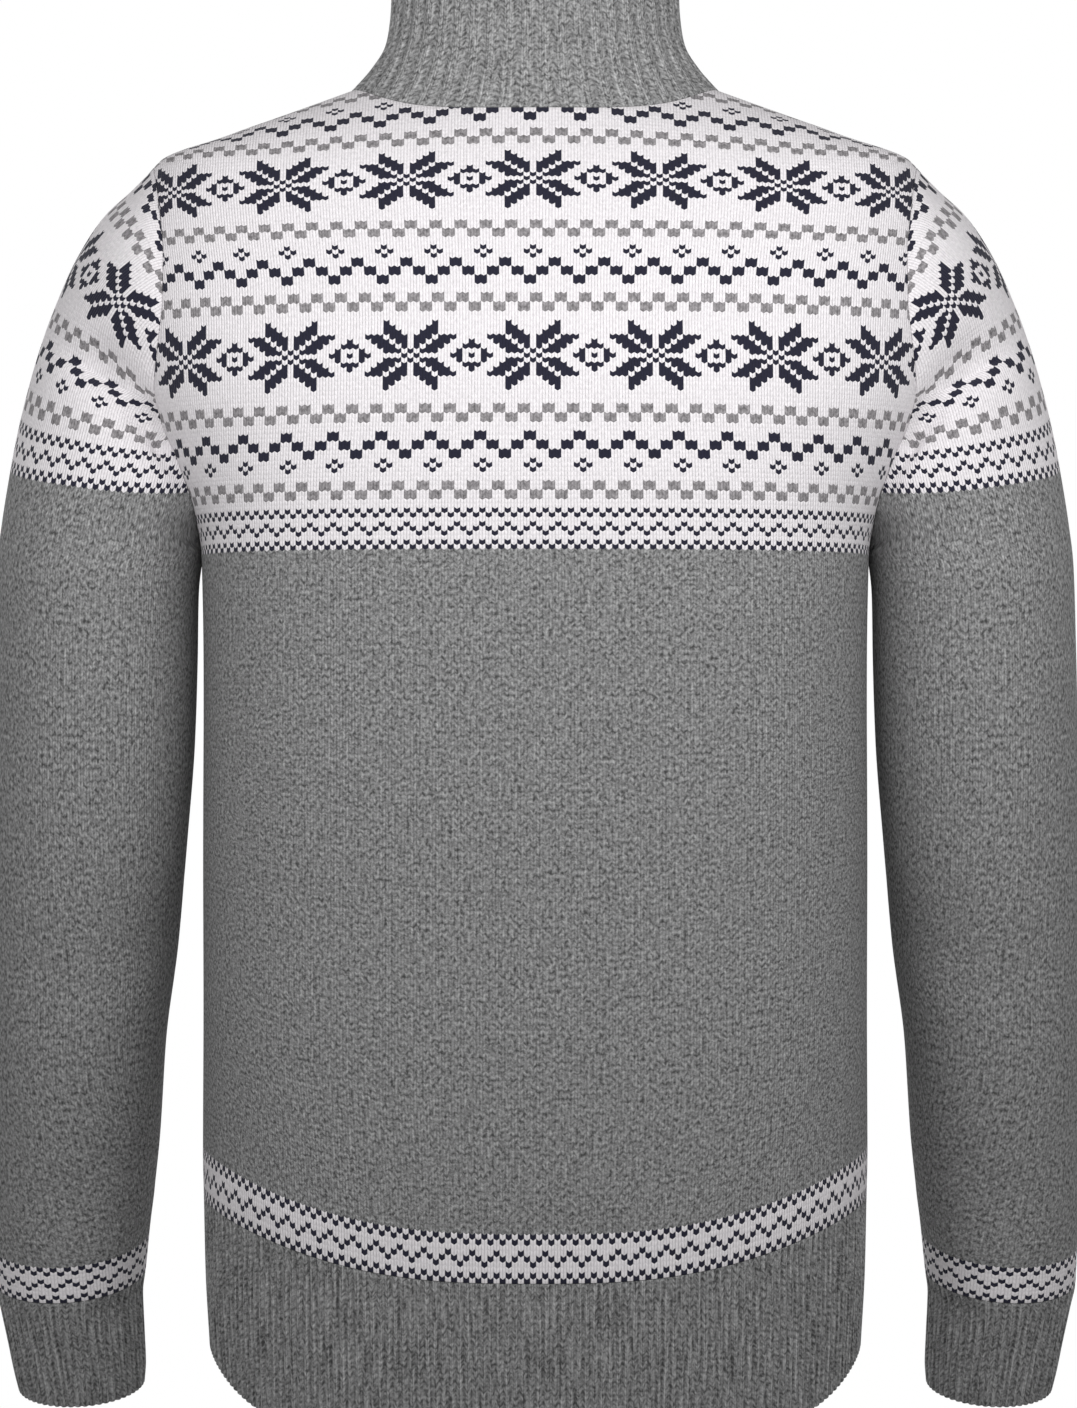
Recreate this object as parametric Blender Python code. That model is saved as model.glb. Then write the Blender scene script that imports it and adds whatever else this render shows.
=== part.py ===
"""A full-zip knitted wool sweater, filled out as if worn, with nobody in it.

The wearer faces -Y, the back faces +Y, +Z is up, and the wearer's left sleeve lies at +X. The origin
lies on the middle plane at the height of the neck points, where the shoulder seams meet the collar.
Tables and sizes are in millimetres; the meshes are in metres.
"""

import math
from typing import NamedTuple

import bmesh
import bpy
import numpy as np

MM = 0.001
WALL = 3.0
SEAM_GAP = 0.3
MIDDLE_Y = -4.0  # depth of the side seams
ZIP_OPENING = 6.5  # half the width left between the two front edges
BEND = 5  # how closely the rows of a panel keep to the middle's levels


class Ring(NamedTuple):
    """A level line round the body: its heights, half width, reach behind and in front, and squareness.

    The last size is how much higher than an even curve it lies halfway between its middle and its side.
    """

    back: float
    side: float
    front: float
    half: float
    rear: float
    fore: float
    power: float
    rise: float = 0.0


BODY_RINGS = (
    Ring(-720, -684, -712, 179.5, 111, -117, 2.8, -12.0),  # hem
    Ring(-679, -644, -673, 181.7, 115.5, -120, 2.8, -4.0),
    Ring(-639, -603, -635, 182.6, 118, -123, 2.8, 2.5),  # top of the rib
    Ring(-615, -578, -612, 183.2, 119, -124, 2.8, 2.5),
    Ring(-534, -506, -530, 183.0, 115, -123, 2.8, 1.0),
    Ring(-434, -416, -432, 183.3, 110, -120, 2.8),  # waist
    Ring(-334, -326, -334, 183.0, 112, -121, 2.8),
    Ring(-259, -252, -260, 184.0, 118, -125, 2.7),  # armpits
    Ring(-204, -198, -208, 203.0, 121, -126, 2.6),
    Ring(-169, -162, -179, 219.0, 120, -124, 2.6),  # shoulder blades
    Ring(-134, -124, -155, 226.0, 115, -119, 2.6),
    Ring(-94, -80, -126, 224.0, 104, -108, 2.55),
    Ring(-60, -40, -106, 210.0, 92, -97, 2.5),  # shoulder points
    Ring(-43, -27, -96, 174.0, 84, -91, 2.45),
    Ring(-27, -13.5, -84, 137.5, 75, -84, 2.4, -3.0),
    Ring(-13, 0, -72, 103.0, 66, -77, 2.3, -6.5),  # neck
)
COLLAR_RINGS = (
    Ring(-12.7, 0.3, -71.7, 103.0, 66.0, -77.0, 2.3, -6.5),
    Ring(-1, 12, -59, 92.3, 62.0, -78.5, 2.2, -3.5),
    Ring(11, 23, -46, 84.8, 58.5, -79.5, 2.2),
    Ring(23, 34, -34, 81.7, 56.0, -80.0, 2.2),
    Ring(43, 50, -14, 80.0, 53.5, -79.5, 2.2),
    Ring(63, 66, 6, 79.5, 52.0, -78.0, 2.2),
)
HEM, RIB_TOP, ARMPIT, SHOULDER = -720.0, -639.0, -259.0, -60.0


class Edge(NamedTuple):
    """Where the armhole seam crosses a level: distance from the middle on the back and on the front."""

    level: float
    back: float
    front: float


ARMHOLE = (
    Edge(-259, 184.0, 184.0),
    Edge(-236, 185.5, 184.5),
    Edge(-222, 189.0, 186.0),
    Edge(-208, 194.0, 187.5),
    Edge(-187, 203.0, 190.5),
    Edge(-172, 206.0, 191.5),
    Edge(-147, 203.0, 192.0),
    Edge(-128, 200.5, 193.0),
    Edge(-108, 200.5, 196.0),
    Edge(-83, 203.5, 202.0),
    Edge(-60, 210.0, 210.0),
)


class PanelRow(NamedTuple):
    """The level of a row of a body panel in the middle of the body and at its side."""

    middle: float
    side: float


BODY_LEVELS = (
    PanelRow(-639, -639),
    PanelRow(-575, -573),
    PanelRow(-512, -508),
    PanelRow(-448, -442),
    PanelRow(-385, -377),
    PanelRow(-328, -312),
    PanelRow(-280, -259),  # armpit
    PanelRow(-262, -257.5),
    PanelRow(-245, -252),
    PanelRow(-228, -241),
    PanelRow(-211, -224),
    PanelRow(-194, -205),
    PanelRow(-178, -187),
    PanelRow(-162, -163),
    PanelRow(-146, -140),
    PanelRow(-130, -116),
    PanelRow(-113, -94),
    PanelRow(-97, -80),
    PanelRow(-81, -70),
    PanelRow(-67, -63.5),
    PanelRow(-54, -60.8),
    PanelRow(-42, -60),  # shoulder point
    PanelRow(-32, -44),
    PanelRow(-22, -28),
    PanelRow(-13, -13),
)


class SideSeam(NamedTuple):
    """How far round from the middle of the back the side seam lies at a level, in degrees."""

    level: float
    turn: float


SIDE_SEAM = (SideSeam(-720, 84), SideSeam(-500, 84), SideSeam(-334, 87), SideSeam(-259, 90))


class ArmRow(NamedTuple):
    """A line round the sleeve below the armpit: its outer and inner points, depth, half depth and slope."""

    out_x: float
    out_z: float
    in_x: float
    in_z: float
    y: float
    deep: float
    drop: float


ARM_ROWS = (
    ArmRow(295.0, -724, 223.5, -722, -76, 39.0, 0.18),  # end of the cuff
    ArmRow(297.5, -712, 222.5, -710, -73, 40.5, 0.19),
    ArmRow(300.5, -695, 223.0, -692, -70, 42.0, 0.20),
    ArmRow(304.5, -673, 223.5, -670, -65.5, 44.5, 0.21),
    ArmRow(306.8, -660, 221.7, -656, -63, 47.0, 0.22),  # top of the cuff
    ArmRow(307.2, -637, 218.9, -632, -58, 48.5, 0.22),
    ArmRow(307.0, -580, 211.9, -576, -47, 52.0, 0.20),
    ArmRow(306.3, -525, 207.5, -521, -36, 55.0, 0.17),
    ArmRow(305.3, -470, 199.8, -468, -27, 58.0, 0.13),
    ArmRow(303.6, -410, 194.3, -411, -18, 61.0, 0.10),
    ArmRow(301.5, -350, 189.5, -355, -12, 64.0, 0.07),
    ArmRow(299.8, -300, 187.7, -310, -8, 65.0, 0.05),
    ArmRow(298.0, -256, 186.8, -272, -5, 65.0, 0.04),
    ArmRow(295.0, -232, 184.4, -252, -4, 63.0, 0.03),  # armpit
)
CUFF_TOP_ROW = 4


class CapRow(NamedTuple):
    """A line over the sleeve head: its outer point, the level where it meets the armhole, and its depth."""

    out_x: float
    out_z: float
    level: float
    y: float
    deep: float
    drop: float


CAP_ROWS = (
    CapRow(291.0, -206.0, -229, -5, 63, 0.03),
    CapRow(286.5, -182.0, -211, -6, 62, 0.03),
    CapRow(281.5, -161.0, -196, -7, 60, 0.02),
    CapRow(273.0, -131.5, -179, -8, 58, 0.0),
    CapRow(265.5, -112.0, -163, -8, 56, 0.0),
    CapRow(254.0, -87.0, -142, -8, 54, 0.0),
    CapRow(238.0, -63.5, -118, -7, 50, 0.0),
    CapRow(222.0, -49.5, -97, -6, 46, 0.0),
    CapRow(210.0, -40.0, -80, -4, 40, 0.0),  # along the top of the armhole
)
HEAD_TOP = -80.0  # level of the armhole where the last row starts
HUB_Y, HUB_Z = -8.0, -148.0  # middle of the armhole
LEAN_FROM, LEAN_TO = -241.0, -187.0  # levels between which the armhole's walls come to meet


class Fold(NamedTuple):
    """A soft trough (below 0) or ridge on the cloth seen from behind (+1) or in front (-1)."""

    face: int
    x0: float
    z0: float
    x1: float
    z1: float
    width: float
    depth: float


SLEEVE_FOLDS = (
    Fold(1, 238, -148, 199, -191, 12, -5.0),  # drag line that runs down into the armpit
    Fold(-1, 224, -158, 199, -214, 16, -3.5),
    Fold(1, 208, -462, 262, -486, 24, -2.5),  # inside the elbow
    Fold(-1, 212, -452, 268, -470, 22, -4.0),
)
BODY_FOLDS = (
    Fold(1, 166, -300, 160, -560, 26, -1.5),
    Fold(-1, 158, -270, 140, -560, 30, -2.5),
)


# --- tables made smooth ------------------------------------------------------------------------


def slopes_of(xs, ys):
    """Slopes that keep a curve through the points from overshooting them."""
    width = np.diff(xs)
    rise = np.diff(ys) / width
    slopes = np.zeros(len(xs))
    slopes[0], slopes[-1] = rise[0], rise[-1]
    for i in range(1, len(xs) - 1):
        if rise[i - 1] * rise[i] > 0:
            before = width[i - 1] + 2 * width[i]
            after = 2 * width[i - 1] + width[i]
            slopes[i] = (before + after) / (before / rise[i] + after / rise[i - 1])
    return slopes


def smooth(xs, ys, x):
    """The height at x of a smooth curve through the points (xs, ys), level beyond its ends."""
    xs, ys = np.asarray(xs, float), np.asarray(ys, float)
    x = min(max(x, xs[0]), xs[-1])
    i = min(int(np.searchsorted(xs, x, side="right")) - 1, len(xs) - 2)
    width = xs[i + 1] - xs[i]
    t = (x - xs[i]) / width
    slopes = slopes_of(xs, ys) * width
    return float(
        (1 + 2 * t) * (1 - t) ** 2 * ys[i]
        + t * (1 - t) ** 2 * slopes[i]
        + t * t * (3 - 2 * t) * ys[i + 1]
        + t * t * (t - 1) * slopes[i + 1]
    )


def column(rows, name):
    """One named column of a table."""
    return [getattr(row, name) for row in rows]


def ring_at(rings, level):
    """The ring at any level between the rings of a table."""
    levels = column(rings, "back")
    return Ring(*(smooth(levels, column(rings, name), level) for name in Ring._fields))


# --- body and collar surfaces ------------------------------------------------------------------


def power_of(value, exponent):
    """A power that keeps the sign of its base."""
    return math.copysign(abs(value) ** exponent, value)


def ring_point(ring, turn):
    """The point of a ring at a turn from the middle of the back, counted towards the wearer's left."""
    across, along = math.sin(turn), math.cos(turn)
    x = ring.half * power_of(across, 2 / ring.power)
    reach = ring.rear - MIDDLE_Y if along >= 0 else MIDDLE_Y - ring.fore
    y = MIDDLE_Y + reach * power_of(along, 2 / ring.power)
    lean = (ring.back - ring.front) / 2
    sway = ((ring.back + ring.front) / 2 - ring.side) / 2
    z = ring.side + sway + lean * along + sway * math.cos(2 * turn) + ring.rise * math.sin(2 * turn) ** 2
    return np.array((x, y, z))


def turn_at(ring, x, front):
    """The turn at which a ring is x from the middle, on the back or on the front."""
    turn = math.asin(min(1.0, abs(x) / ring.half) ** (ring.power / 2))
    return math.pi - turn if front else turn


def surface_point(rings, level, turn):
    """The point of a surface at a level and a turn."""
    return ring_point(ring_at(rings, level), turn)


def surface_normal(rings, level, turn):
    """The direction that faces out of a surface at a level and a turn."""
    step, swing = 1.5, 0.02
    lowest, highest = rings[0].back, rings[-1].back
    below, above = max(level - step, lowest), min(level + step, highest)
    up = surface_point(rings, above, turn) - surface_point(rings, below, turn)
    ring = ring_at(rings, level)
    round_it = ring_point(ring, turn + swing) - ring_point(ring, turn - swing)
    normal = np.cross(up, round_it)
    return normal / np.linalg.norm(normal)


def fold_height(folds, point, face):
    """How far all the folds together push the cloth out at a point, the same on both sides of the body."""
    height = 0.0
    for fold in folds:
        if fold.face * face <= 0:
            continue
        start = np.array((fold.x0, fold.z0))
        run = np.array((fold.x1, fold.z1)) - start
        place = np.array((abs(point[0]), point[2])) - start
        along = float(place @ run / (run @ run))
        near = min(max(along, 0.0), 1.0)
        away = float(np.linalg.norm(place - near * run))
        height += fold.depth * math.exp(-((away / fold.width) ** 2))
    return height


def edge_turn(level, front):
    """The turn of a body panel's outer edge: its side seam, then its armhole, then its shoulder seam."""
    if level <= ARMPIT:
        return math.radians(smooth(column(SIDE_SEAM, "level"), column(SIDE_SEAM, "turn"), level))
    if level >= SHOULDER:
        return math.pi / 2
    across = column(ARMHOLE, "front" if front else "back")
    return turn_at(ring_at(BODY_RINGS, level), smooth(column(ARMHOLE, "level"), across, level), front)


def even_turns(ring, first, last, count):
    """Turns that divide a stretch of a ring into pieces of equal length."""
    fine = np.linspace(first, last, 161)
    points = np.array([ring_point(ring, turn) for turn in fine])
    length = np.concatenate(([0.0], np.cumsum(np.linalg.norm(np.diff(points, axis=0), axis=1))))
    return np.interp(np.linspace(0, length[-1], count), length, fine)


def sheet_on(rings, levels, ends, count, folds, trim=0.0):
    """Outer points and outward directions of a panel whose rows run between two edges.

    Each row has its own level in the middle of the body and at the side; near the side it bends from
    the one to the other.
    """
    points, normals = [], []
    for middle, side in levels:
        row, facing = [], []
        for index, away in enumerate(distance_from_middle(ends(ARMPIT), count)):
            level = middle + (side - middle) * away**BEND
            ring = ring_at(rings, level)
            turn = even_turns(ring, *ends(level), count)[index]
            row.append(ring_point(ring, turn))
            facing.append(surface_normal(rings, level, turn))
        row, facing = np.array(row), np.array(facing)
        if rings is BODY_RINGS and ARMPIT <= side <= SHOULDER:
            lean_edges(facing, side, whole=ends(side)[0] < 0)
        if trim:
            row[0] += trim * unit(row[1] - row[0])
            row[-1] += trim * unit(row[-2] - row[-1])
        for point, normal in zip(row, facing):
            point += normal * fold_height(folds, point, normal[1])
        points.append(row)
        normals.append(facing)
    return np.array(points), np.array(normals)


def lean_share(level):
    """How far the walls lean towards each other at a level of the armhole, from 0 at the armpit to 1."""
    share = min(max((level - LEAN_FROM) / (LEAN_TO - LEAN_FROM), 0.0), 1.0)
    return share * share * (3 - 2 * share)


def lean_edges(facing, level, whole):
    """Turns the outward directions on the edges of a row to those in which the armhole's walls meet.

    A whole row runs from side to side; the row of a front has only its first end on the armhole.
    """
    share = lean_share(level)
    if whole:
        lean = share * Seam.lean(level, front=False) + (1 - share) * facing[-1]
        facing[0], facing[-1] = lean * (-1, 1, 1), lean
    else:
        facing[0] = share * Seam.lean(level, front=True) + (1 - share) * facing[0]


def distance_from_middle(ends, count):
    """How far each column of a panel lies from the middle of the body, from 0 to 1 at the side."""
    if ends[0] < 0:
        return np.abs(np.linspace(-1, 1, count))
    return np.linspace(1, 0, count)


def unit(vector):
    """A vector of the same direction and length 1."""
    return vector / np.linalg.norm(vector)


def even(first, last, pieces):
    """Values that divide a stretch evenly."""
    return list(np.linspace(first, last, pieces + 1))


# --- armhole and sleeve surfaces ---------------------------------------------------------------

ARMHOLE_LEVELS = [row.side for row in BODY_LEVELS if ARMPIT <= row.side <= SHOULDER]
TOP_PIECES = (3, 2, 2, 3)  # how the sleeve's top edge divides the four highest pieces of each armhole side


class Seam:
    """Corners of the armhole seam at the wearer's left, on the back or on the front."""

    def __init__(self, front):
        self.levels = ARMHOLE_LEVELS
        self.corners = np.array([self.corner(level, front) for level in self.levels])
        self.leans = np.array([self.lean(level, front) for level in self.levels])
        along = np.gradient(self.corners, axis=0)
        along[0] = along[-1] = (0.0, 1.0, 0.0)  # the two sides of the seam meet here
        away = np.cross(along, self.leans)
        away *= np.sign(away[:, :1]) / np.linalg.norm(away, axis=1, keepdims=True)
        self.sleeve_edge = self.corners + SEAM_GAP * away

    @staticmethod
    def corner(level, front):
        """The point of the seam at a level."""
        return surface_point(BODY_RINGS, level, edge_turn(level, front))

    @staticmethod
    def lean(level, front):
        """The direction in which the walls meet: between straight out of the body and out of the hole."""
        turn = edge_turn(level, front)
        point = surface_point(BODY_RINGS, level, turn)
        hub = np.array((point[0], HUB_Y, HUB_Z))
        return unit(unit(point - hub) + surface_normal(BODY_RINGS, level, turn))

    def along(self, values, level):
        """A value at any level, straight from corner to corner."""
        return np.array([np.interp(level, self.levels, values[:, axis]) for axis in range(3)])


class Sleeve:
    """The surface of the wearer's left sleeve, by distance along its outer ridge and by turn round it."""

    def __init__(self):
        rows = ARM_ROWS + CAP_ROWS
        ridge = np.array([(row.out_x, row.out_z) for row in rows])
        steps = np.linalg.norm(np.diff(ridge, axis=0), axis=1)
        self.run = np.concatenate(([0.0], np.cumsum(steps)))
        self.rows = rows
        self.armpit = self.run[len(ARM_ROWS) - 1]
        self.cuff_top = self.run[CUFF_TOP_ROW]
        self.top = self.run[-1]
        self.seams = {front: Seam(front) for front in (False, True)}
        self.levels = [ARMPIT] + column(CAP_ROWS, "level")

    def value(self, name, at):
        """A column that both sleeve tables have, at a distance along the ridge."""
        return smooth(self.run, column(self.rows, name), at)

    def end(self, at, front):
        """Where a line round the sleeve ends: on the underarm line, or on the armhole."""
        if at <= self.armpit:
            run = self.run[: len(ARM_ROWS)]
            x = smooth(run, column(ARM_ROWS, "in_x"), at)
            z = smooth(run, column(ARM_ROWS, "in_z"), at)
            return np.array((x, self.value("y", at), z))
        seam = self.seams[front]
        return seam.along(seam.sleeve_edge, self.level(at))

    def level(self, at):
        """The level at which a line over the sleeve head meets the armhole."""
        return smooth(self.run[len(ARM_ROWS) - 1 :], self.levels, at)

    def station(self, level):
        """The distance along the ridge of the line that meets the armhole at a level."""
        fine = np.linspace(self.armpit, self.top, 400)
        return float(np.interp(level, [self.level(at) for at in fine], fine))

    def point(self, at, around):
        """The point at a distance along the ridge, from -1 in front over the ridge at 0 to 1 behind."""
        front = around < 0
        end = self.end(at, front)
        ridge = np.array((self.value("out_x", at), self.value("y", at), self.value("out_z", at)))
        reach = abs(end[1] - ridge[1])
        drop = self.value("drop", at)
        deep = max(self.value("deep", at), reach)
        last = math.pi - math.asin(min(1.0, reach / deep))
        inward = end - ridge
        inward[1] = 0.0
        inward[2] += drop * (end[1] - ridge[1])
        turn = last * abs(around)
        share = (1 - math.cos(turn)) / (1 - math.cos(last))
        side = -deep if front else deep
        out = ridge + share * inward
        out[1] += side * math.sin(turn)
        out[2] -= drop * side * math.sin(turn)
        return out

    def normal(self, at, around):
        """The direction that faces out of the sleeve."""
        along, swing = 2.0, 0.015
        around = min(max(around, swing - 1), 1 - swing) if at > self.armpit else around
        below, above = max(at - along, 0.0), min(at + along, self.top)
        up = self.point(above, around) - self.point(below, around)
        if abs(around) + swing > 1:  # across the underarm line
            round_it = self.point(at, swing - 1) - self.point(at, 1 - swing)
        else:
            round_it = self.point(at, around + swing) - self.point(at, around - swing)
        return unit(np.cross(round_it, up))

    def top_line(self):
        """The last line of the sleeve head, from its front over the shoulder point to its back."""
        sides = []
        for front in (True, False):
            seam = self.seams[front]
            first = seam.levels.index(HEAD_TOP)
            stops = [float(first)]
            for index, pieces in enumerate(TOP_PIECES):
                stops += [first + index + (piece + 1) / pieces for piece in range(pieces)]
            levels = np.interp(stops, np.arange(len(seam.levels)), seam.levels)
            edge = [seam.along(seam.sleeve_edge, level) for level in levels]
            lean = [seam.along(seam.leans, level) for level in levels]
            sides.append((np.array(edge), np.array(lean)))
        (front_edge, front_lean), (back_edge, back_lean) = sides
        points = np.concatenate((front_edge, back_edge[-2::-1]))
        return points, np.concatenate((front_lean, back_lean[-2::-1]))

    def grid(self, rows, columns):
        """Outer points and outward directions of a stretch of the sleeve.

        Each row has its own distance along the ridge and along the seam, and bends from the one to the
        other near the seam.
        """
        rounds = np.linspace(-1, 1, columns + 1)
        points, normals = [], []
        for ridge, end in rows:
            row, facing = [], []
            for around in rounds:
                at = ridge + (end - ridge) * abs(around) ** BEND
                point, normal = self.point(at, around), self.normal(at, around)
                row.append(point + normal * fold_height(SLEEVE_FOLDS, point, normal[1]))
                facing.append(normal)
            points.append(row)
            normals.append(facing)
        return np.array(points), np.array(normals)

    def head(self, rows, columns):
        """The grid of the sleeve, with its edge laid along the corners of the armhole."""
        pairs = [(ridge, self.station(end) if end < 0 else end) for ridge, end in rows]
        points, normals = self.grid(pairs, columns)
        for index, (ridge, level) in enumerate(rows):
            if level >= 0:
                continue
            for column_index, front in ((0, True), (-1, False)):
                seam = self.seams[front]
                points[index, column_index] = seam.along(seam.sleeve_edge, level)
                own = (1 - lean_share(level)) * normals[index, column_index]
                normals[index, column_index] = lean_share(level) * seam.along(seam.leans, level) + own
        points[-1], normals[-1] = self.top_line()
        return points, normals


# --- meshes ------------------------------------------------------------------------------------


def finish(name, bm, material):
    """Makes a bmesh into a named object with outward faces and its material."""
    bmesh.ops.recalc_face_normals(bm, faces=bm.faces)
    mesh = bpy.data.meshes.new(name)
    bm.to_mesh(mesh)
    bm.free()
    mesh.materials.append(material)
    mesh.shade_smooth()
    mesh.set_sharp_from_angle(angle=math.radians(50))
    made = bpy.data.objects.new(name, mesh)
    bpy.context.scene.collection.objects.link(made)
    return made


def sheet_mesh(points):
    """A grid laid on rows of points; corners that fall together, as along a tube's seam, are merged."""
    rows, columns = points.shape[:2]
    bm = bmesh.new()
    bmesh.ops.create_grid(bm, x_segments=columns - 1, y_segments=rows - 1, size=1.0)
    place = bm.verts.layers.int.new("place")
    ordered = sorted(bm.verts, key=lambda v: (round(v.co.y, 5), v.co.x))
    for index, vert in enumerate(ordered):
        vert[place] = index
        vert.co = points[index // columns, index % columns] * MM
    bmesh.ops.remove_doubles(bm, verts=bm.verts, dist=1e-6)
    bmesh.ops.triangulate(bm, faces=bm.faces, quad_method="SHORT_EDGE")
    return bm, place


def walled(name, points, normals, wall, material):
    """A panel of cloth: its outer points, a copy of them one wall further in, and a rim between the two."""
    bm, place = sheet_mesh(points)
    inner = (points - wall * normals).reshape(-1, 3) * MM
    outside = list(bm.faces)
    edges = [edge for edge in bm.edges if edge.is_boundary]
    copied = bmesh.ops.duplicate(bm, geom=outside + list(bm.edges) + list(bm.verts))
    twins = {vert[place]: vert for vert in copied["geom"] if isinstance(vert, bmesh.types.BMVert)}
    for edge in edges:
        one, other = edge.verts
        bm.faces.new((one, other, twins[other[place]], twins[one[place]]))
    for index, vert in twins.items():
        vert.co = inner[index]
    return finish(name, bm, material)


def mirrored(points, normals):
    """The same panel on the wearer's other side."""
    flip = np.array((-1.0, 1.0, 1.0))
    return points * flip, normals * flip


def block(name, centre, size, material, bevel=0.0, tilt=0.0):
    """A box with its edges rounded off, turned by tilt about X."""
    bm = bmesh.new()
    bmesh.ops.create_cube(bm, size=1.0)
    bmesh.ops.scale(bm, verts=bm.verts, vec=[side * MM for side in size])
    if bevel:
        bmesh.ops.bevel(
            bm, geom=bm.edges, offset=bevel * MM, segments=2, profile=0.5, affect="EDGES", material=-1
        )
    made = finish(name, bm, material)
    made.rotation_euler.x = tilt
    made.location = [value * MM for value in centre]
    return made


def finish_material(name, colour, roughness, metallic=0.0):
    """A plain finish of one colour."""
    made = bpy.data.materials.new(name)
    made.use_nodes = True
    shader = made.node_tree.nodes["Principled BSDF"]
    shader.inputs["Base Color"].default_value = (*colour, 1.0)
    shader.inputs["Roughness"].default_value = roughness
    shader.inputs["Metallic"].default_value = metallic
    return made


# --- the garment's pieces ----------------------------------------------------------------------

SIDES = {"left": 1, "right": -1}
HEM_PIECES, SLEEVE_PIECES, CUFF_PIECES = 2, 7, 3  # rows of faces up a band or an arm
BACK_POINTS, FRONT_POINTS, COLLAR_POINTS, SLEEVE_COLUMNS = 23, 12, 31, 20
FAN = 36.0  # how much lower the row that ends in the armpit crosses the outer ridge
FAN_END = 93.0  # how far up the armhole the rows still cross the ridge lower
ARM_END = 85.0  # from the armpit down to the last level row round the arm
FAN_START = (60.0, 34.0)  # the same for the first slanted row, at the ridge and at the underarm line


def back_ends(level):
    """The two edges of the back, at the wearer's right and left."""
    edge = edge_turn(level, front=False)
    return -edge, edge


def front_ends(rings):
    """A function that gives the side edge and the zip edge of a left front at a level."""

    def ends(level):
        zip_edge = turn_at(ring_at(rings, level), ZIP_OPENING, front=True)
        if rings is COLLAR_RINGS:
            return -zip_edge, zip_edge
        return edge_turn(level, front=True), zip_edge

    return ends


def make_body(wool):
    """The back and the two fronts."""
    foot = RIB_TOP + SEAM_GAP
    levels = [PanelRow(foot, foot), *BODY_LEVELS[1:]]
    trim = SEAM_GAP / 2
    back = sheet_on(BODY_RINGS, levels, back_ends, BACK_POINTS, BODY_FOLDS, trim)
    walled("back_panel", *back, WALL, wool)
    front = sheet_on(BODY_RINGS, levels, front_ends(BODY_RINGS), FRONT_POINTS, BODY_FOLDS, trim)
    walled("front_left", *front, WALL, wool)
    walled("front_right", *mirrored(*front), WALL, wool)
    return front


def make_hem(rib):
    """The ribbed band along the bottom edge, in a piece for each panel."""
    levels = [PanelRow(level, level) for level in even(HEM, RIB_TOP, HEM_PIECES)]
    trim = SEAM_GAP / 2
    back = sheet_on(BODY_RINGS, levels, back_ends, BACK_POINTS, BODY_FOLDS, trim)
    walled("hem_rib_back", *back, WALL, rib)
    front = sheet_on(BODY_RINGS, levels, front_ends(BODY_RINGS), FRONT_POINTS, BODY_FOLDS, trim)
    walled("hem_rib_front_left", *front, WALL, rib)
    walled("hem_rib_front_right", *mirrored(*front), WALL, rib)
    return front


def make_collar(rib):
    """The stand-up ribbed collar, open in front for the zip."""
    levels = [PanelRow(level, level) for level in column(COLLAR_RINGS, "back")]
    points, normals = sheet_on(COLLAR_RINGS, levels, front_ends(COLLAR_RINGS), COLLAR_POINTS, ())
    walled("collar", points, normals, WALL, rib)
    return points, normals


def make_sleeves(wool, rib):
    """Both sleeves and their ribbed cuffs."""
    sleeve = Sleeve()
    low = sleeve.cuff_top + SEAM_GAP
    rows = [(at, at) for at in even(low, sleeve.armpit - ARM_END, SLEEVE_PIECES)]
    rows.append(tuple(sleeve.armpit - below for below in FAN_START))
    for level in ARMHOLE_LEVELS[: ARMHOLE_LEVELS.index(HEAD_TOP) + 1]:
        end = sleeve.station(level) - sleeve.armpit
        lag = FAN * max(0.0, 1.0 - end / FAN_END)
        rows.append((sleeve.armpit + end - lag, level))
    body = sleeve.head(rows, SLEEVE_COLUMNS)
    cuff = sleeve.grid([(at, at) for at in even(0.0, sleeve.cuff_top, CUFF_PIECES)], SLEEVE_COLUMNS)
    for side, sign in SIDES.items():
        for name, piece, material in (("sleeve", body, wool), ("cuff", cuff, rib)):
            placed = piece if sign > 0 else mirrored(*piece)
            walled(f"{name}_{side}", *placed, WALL, material)


# --- the zip -----------------------------------------------------------------------------------

TAPE_WIDTH = 14.0
TAPE_WALL = 1.0
TAPE_SINK = WALL + SEAM_GAP  # depth of the tape's outer face below the outside of the cloth
CHAIN_SINK = TAPE_SINK + TAPE_WALL / 2  # depth of the middle of the tape and of the chain
TAPE_ENDS = 0.5  # from the edges of the hem and the collar to the ends of the tape
TEETH_HALF = 3.0  # half the width of the fastened chain
TEETH_DEEP = 2.4
CHAIN_SPLIT = 0.15  # half the gap between the two rows of teeth
BOX_LENGTH = 10.0
BOX_DEEP = 3.2
BOX_MIDDLE = 5.4  # from the foot of the zip to the middle of its box
CHAIN_FOOT = 11.0  # from the foot of the zip to its first tooth
TOP_SPARE = 4.0  # bare tape above the top stops
STOP_WIDTH, STOP_HEIGHT = 2.6, 3.0
STOP_X = 1.6
SLIDER_LENGTH = 12.0
SLIDER_HALF = 4.9
PLATE = 1.3
PLATE_CLEAR = 0.5  # from the chain to each plate of the slider
POST_WIDTH = 1.6
POST_ENDS = (0.6, 5.4)  # the post that parts the two rows, from the middle of the slider upwards
LUG = (1.4, 3.6, 4.0)
LUG_X, LUG_RISE = 3.1, 1.0  # place of a lug: beside the middle, and how much nearer the plate than the pin
PIN_RADIUS, PIN_LENGTH = 0.8, 6.4
PIN_HEIGHT = 1.5  # of the pin above the middle of the slider
PIN_RISE = 2.1  # from the face of the slider to the middle of its pin
PULL_LENGTH, PULL_WIDTH, PULL_WALL = 27.0, 7.0, 1.4
EYE_RADIUS, EYE_LENGTH = 1.75, 4.0
EYE_WALL = 1.45  # middle of the wall of the eye, where the tab grows out of it
NECK_HALF = 1.7
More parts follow.
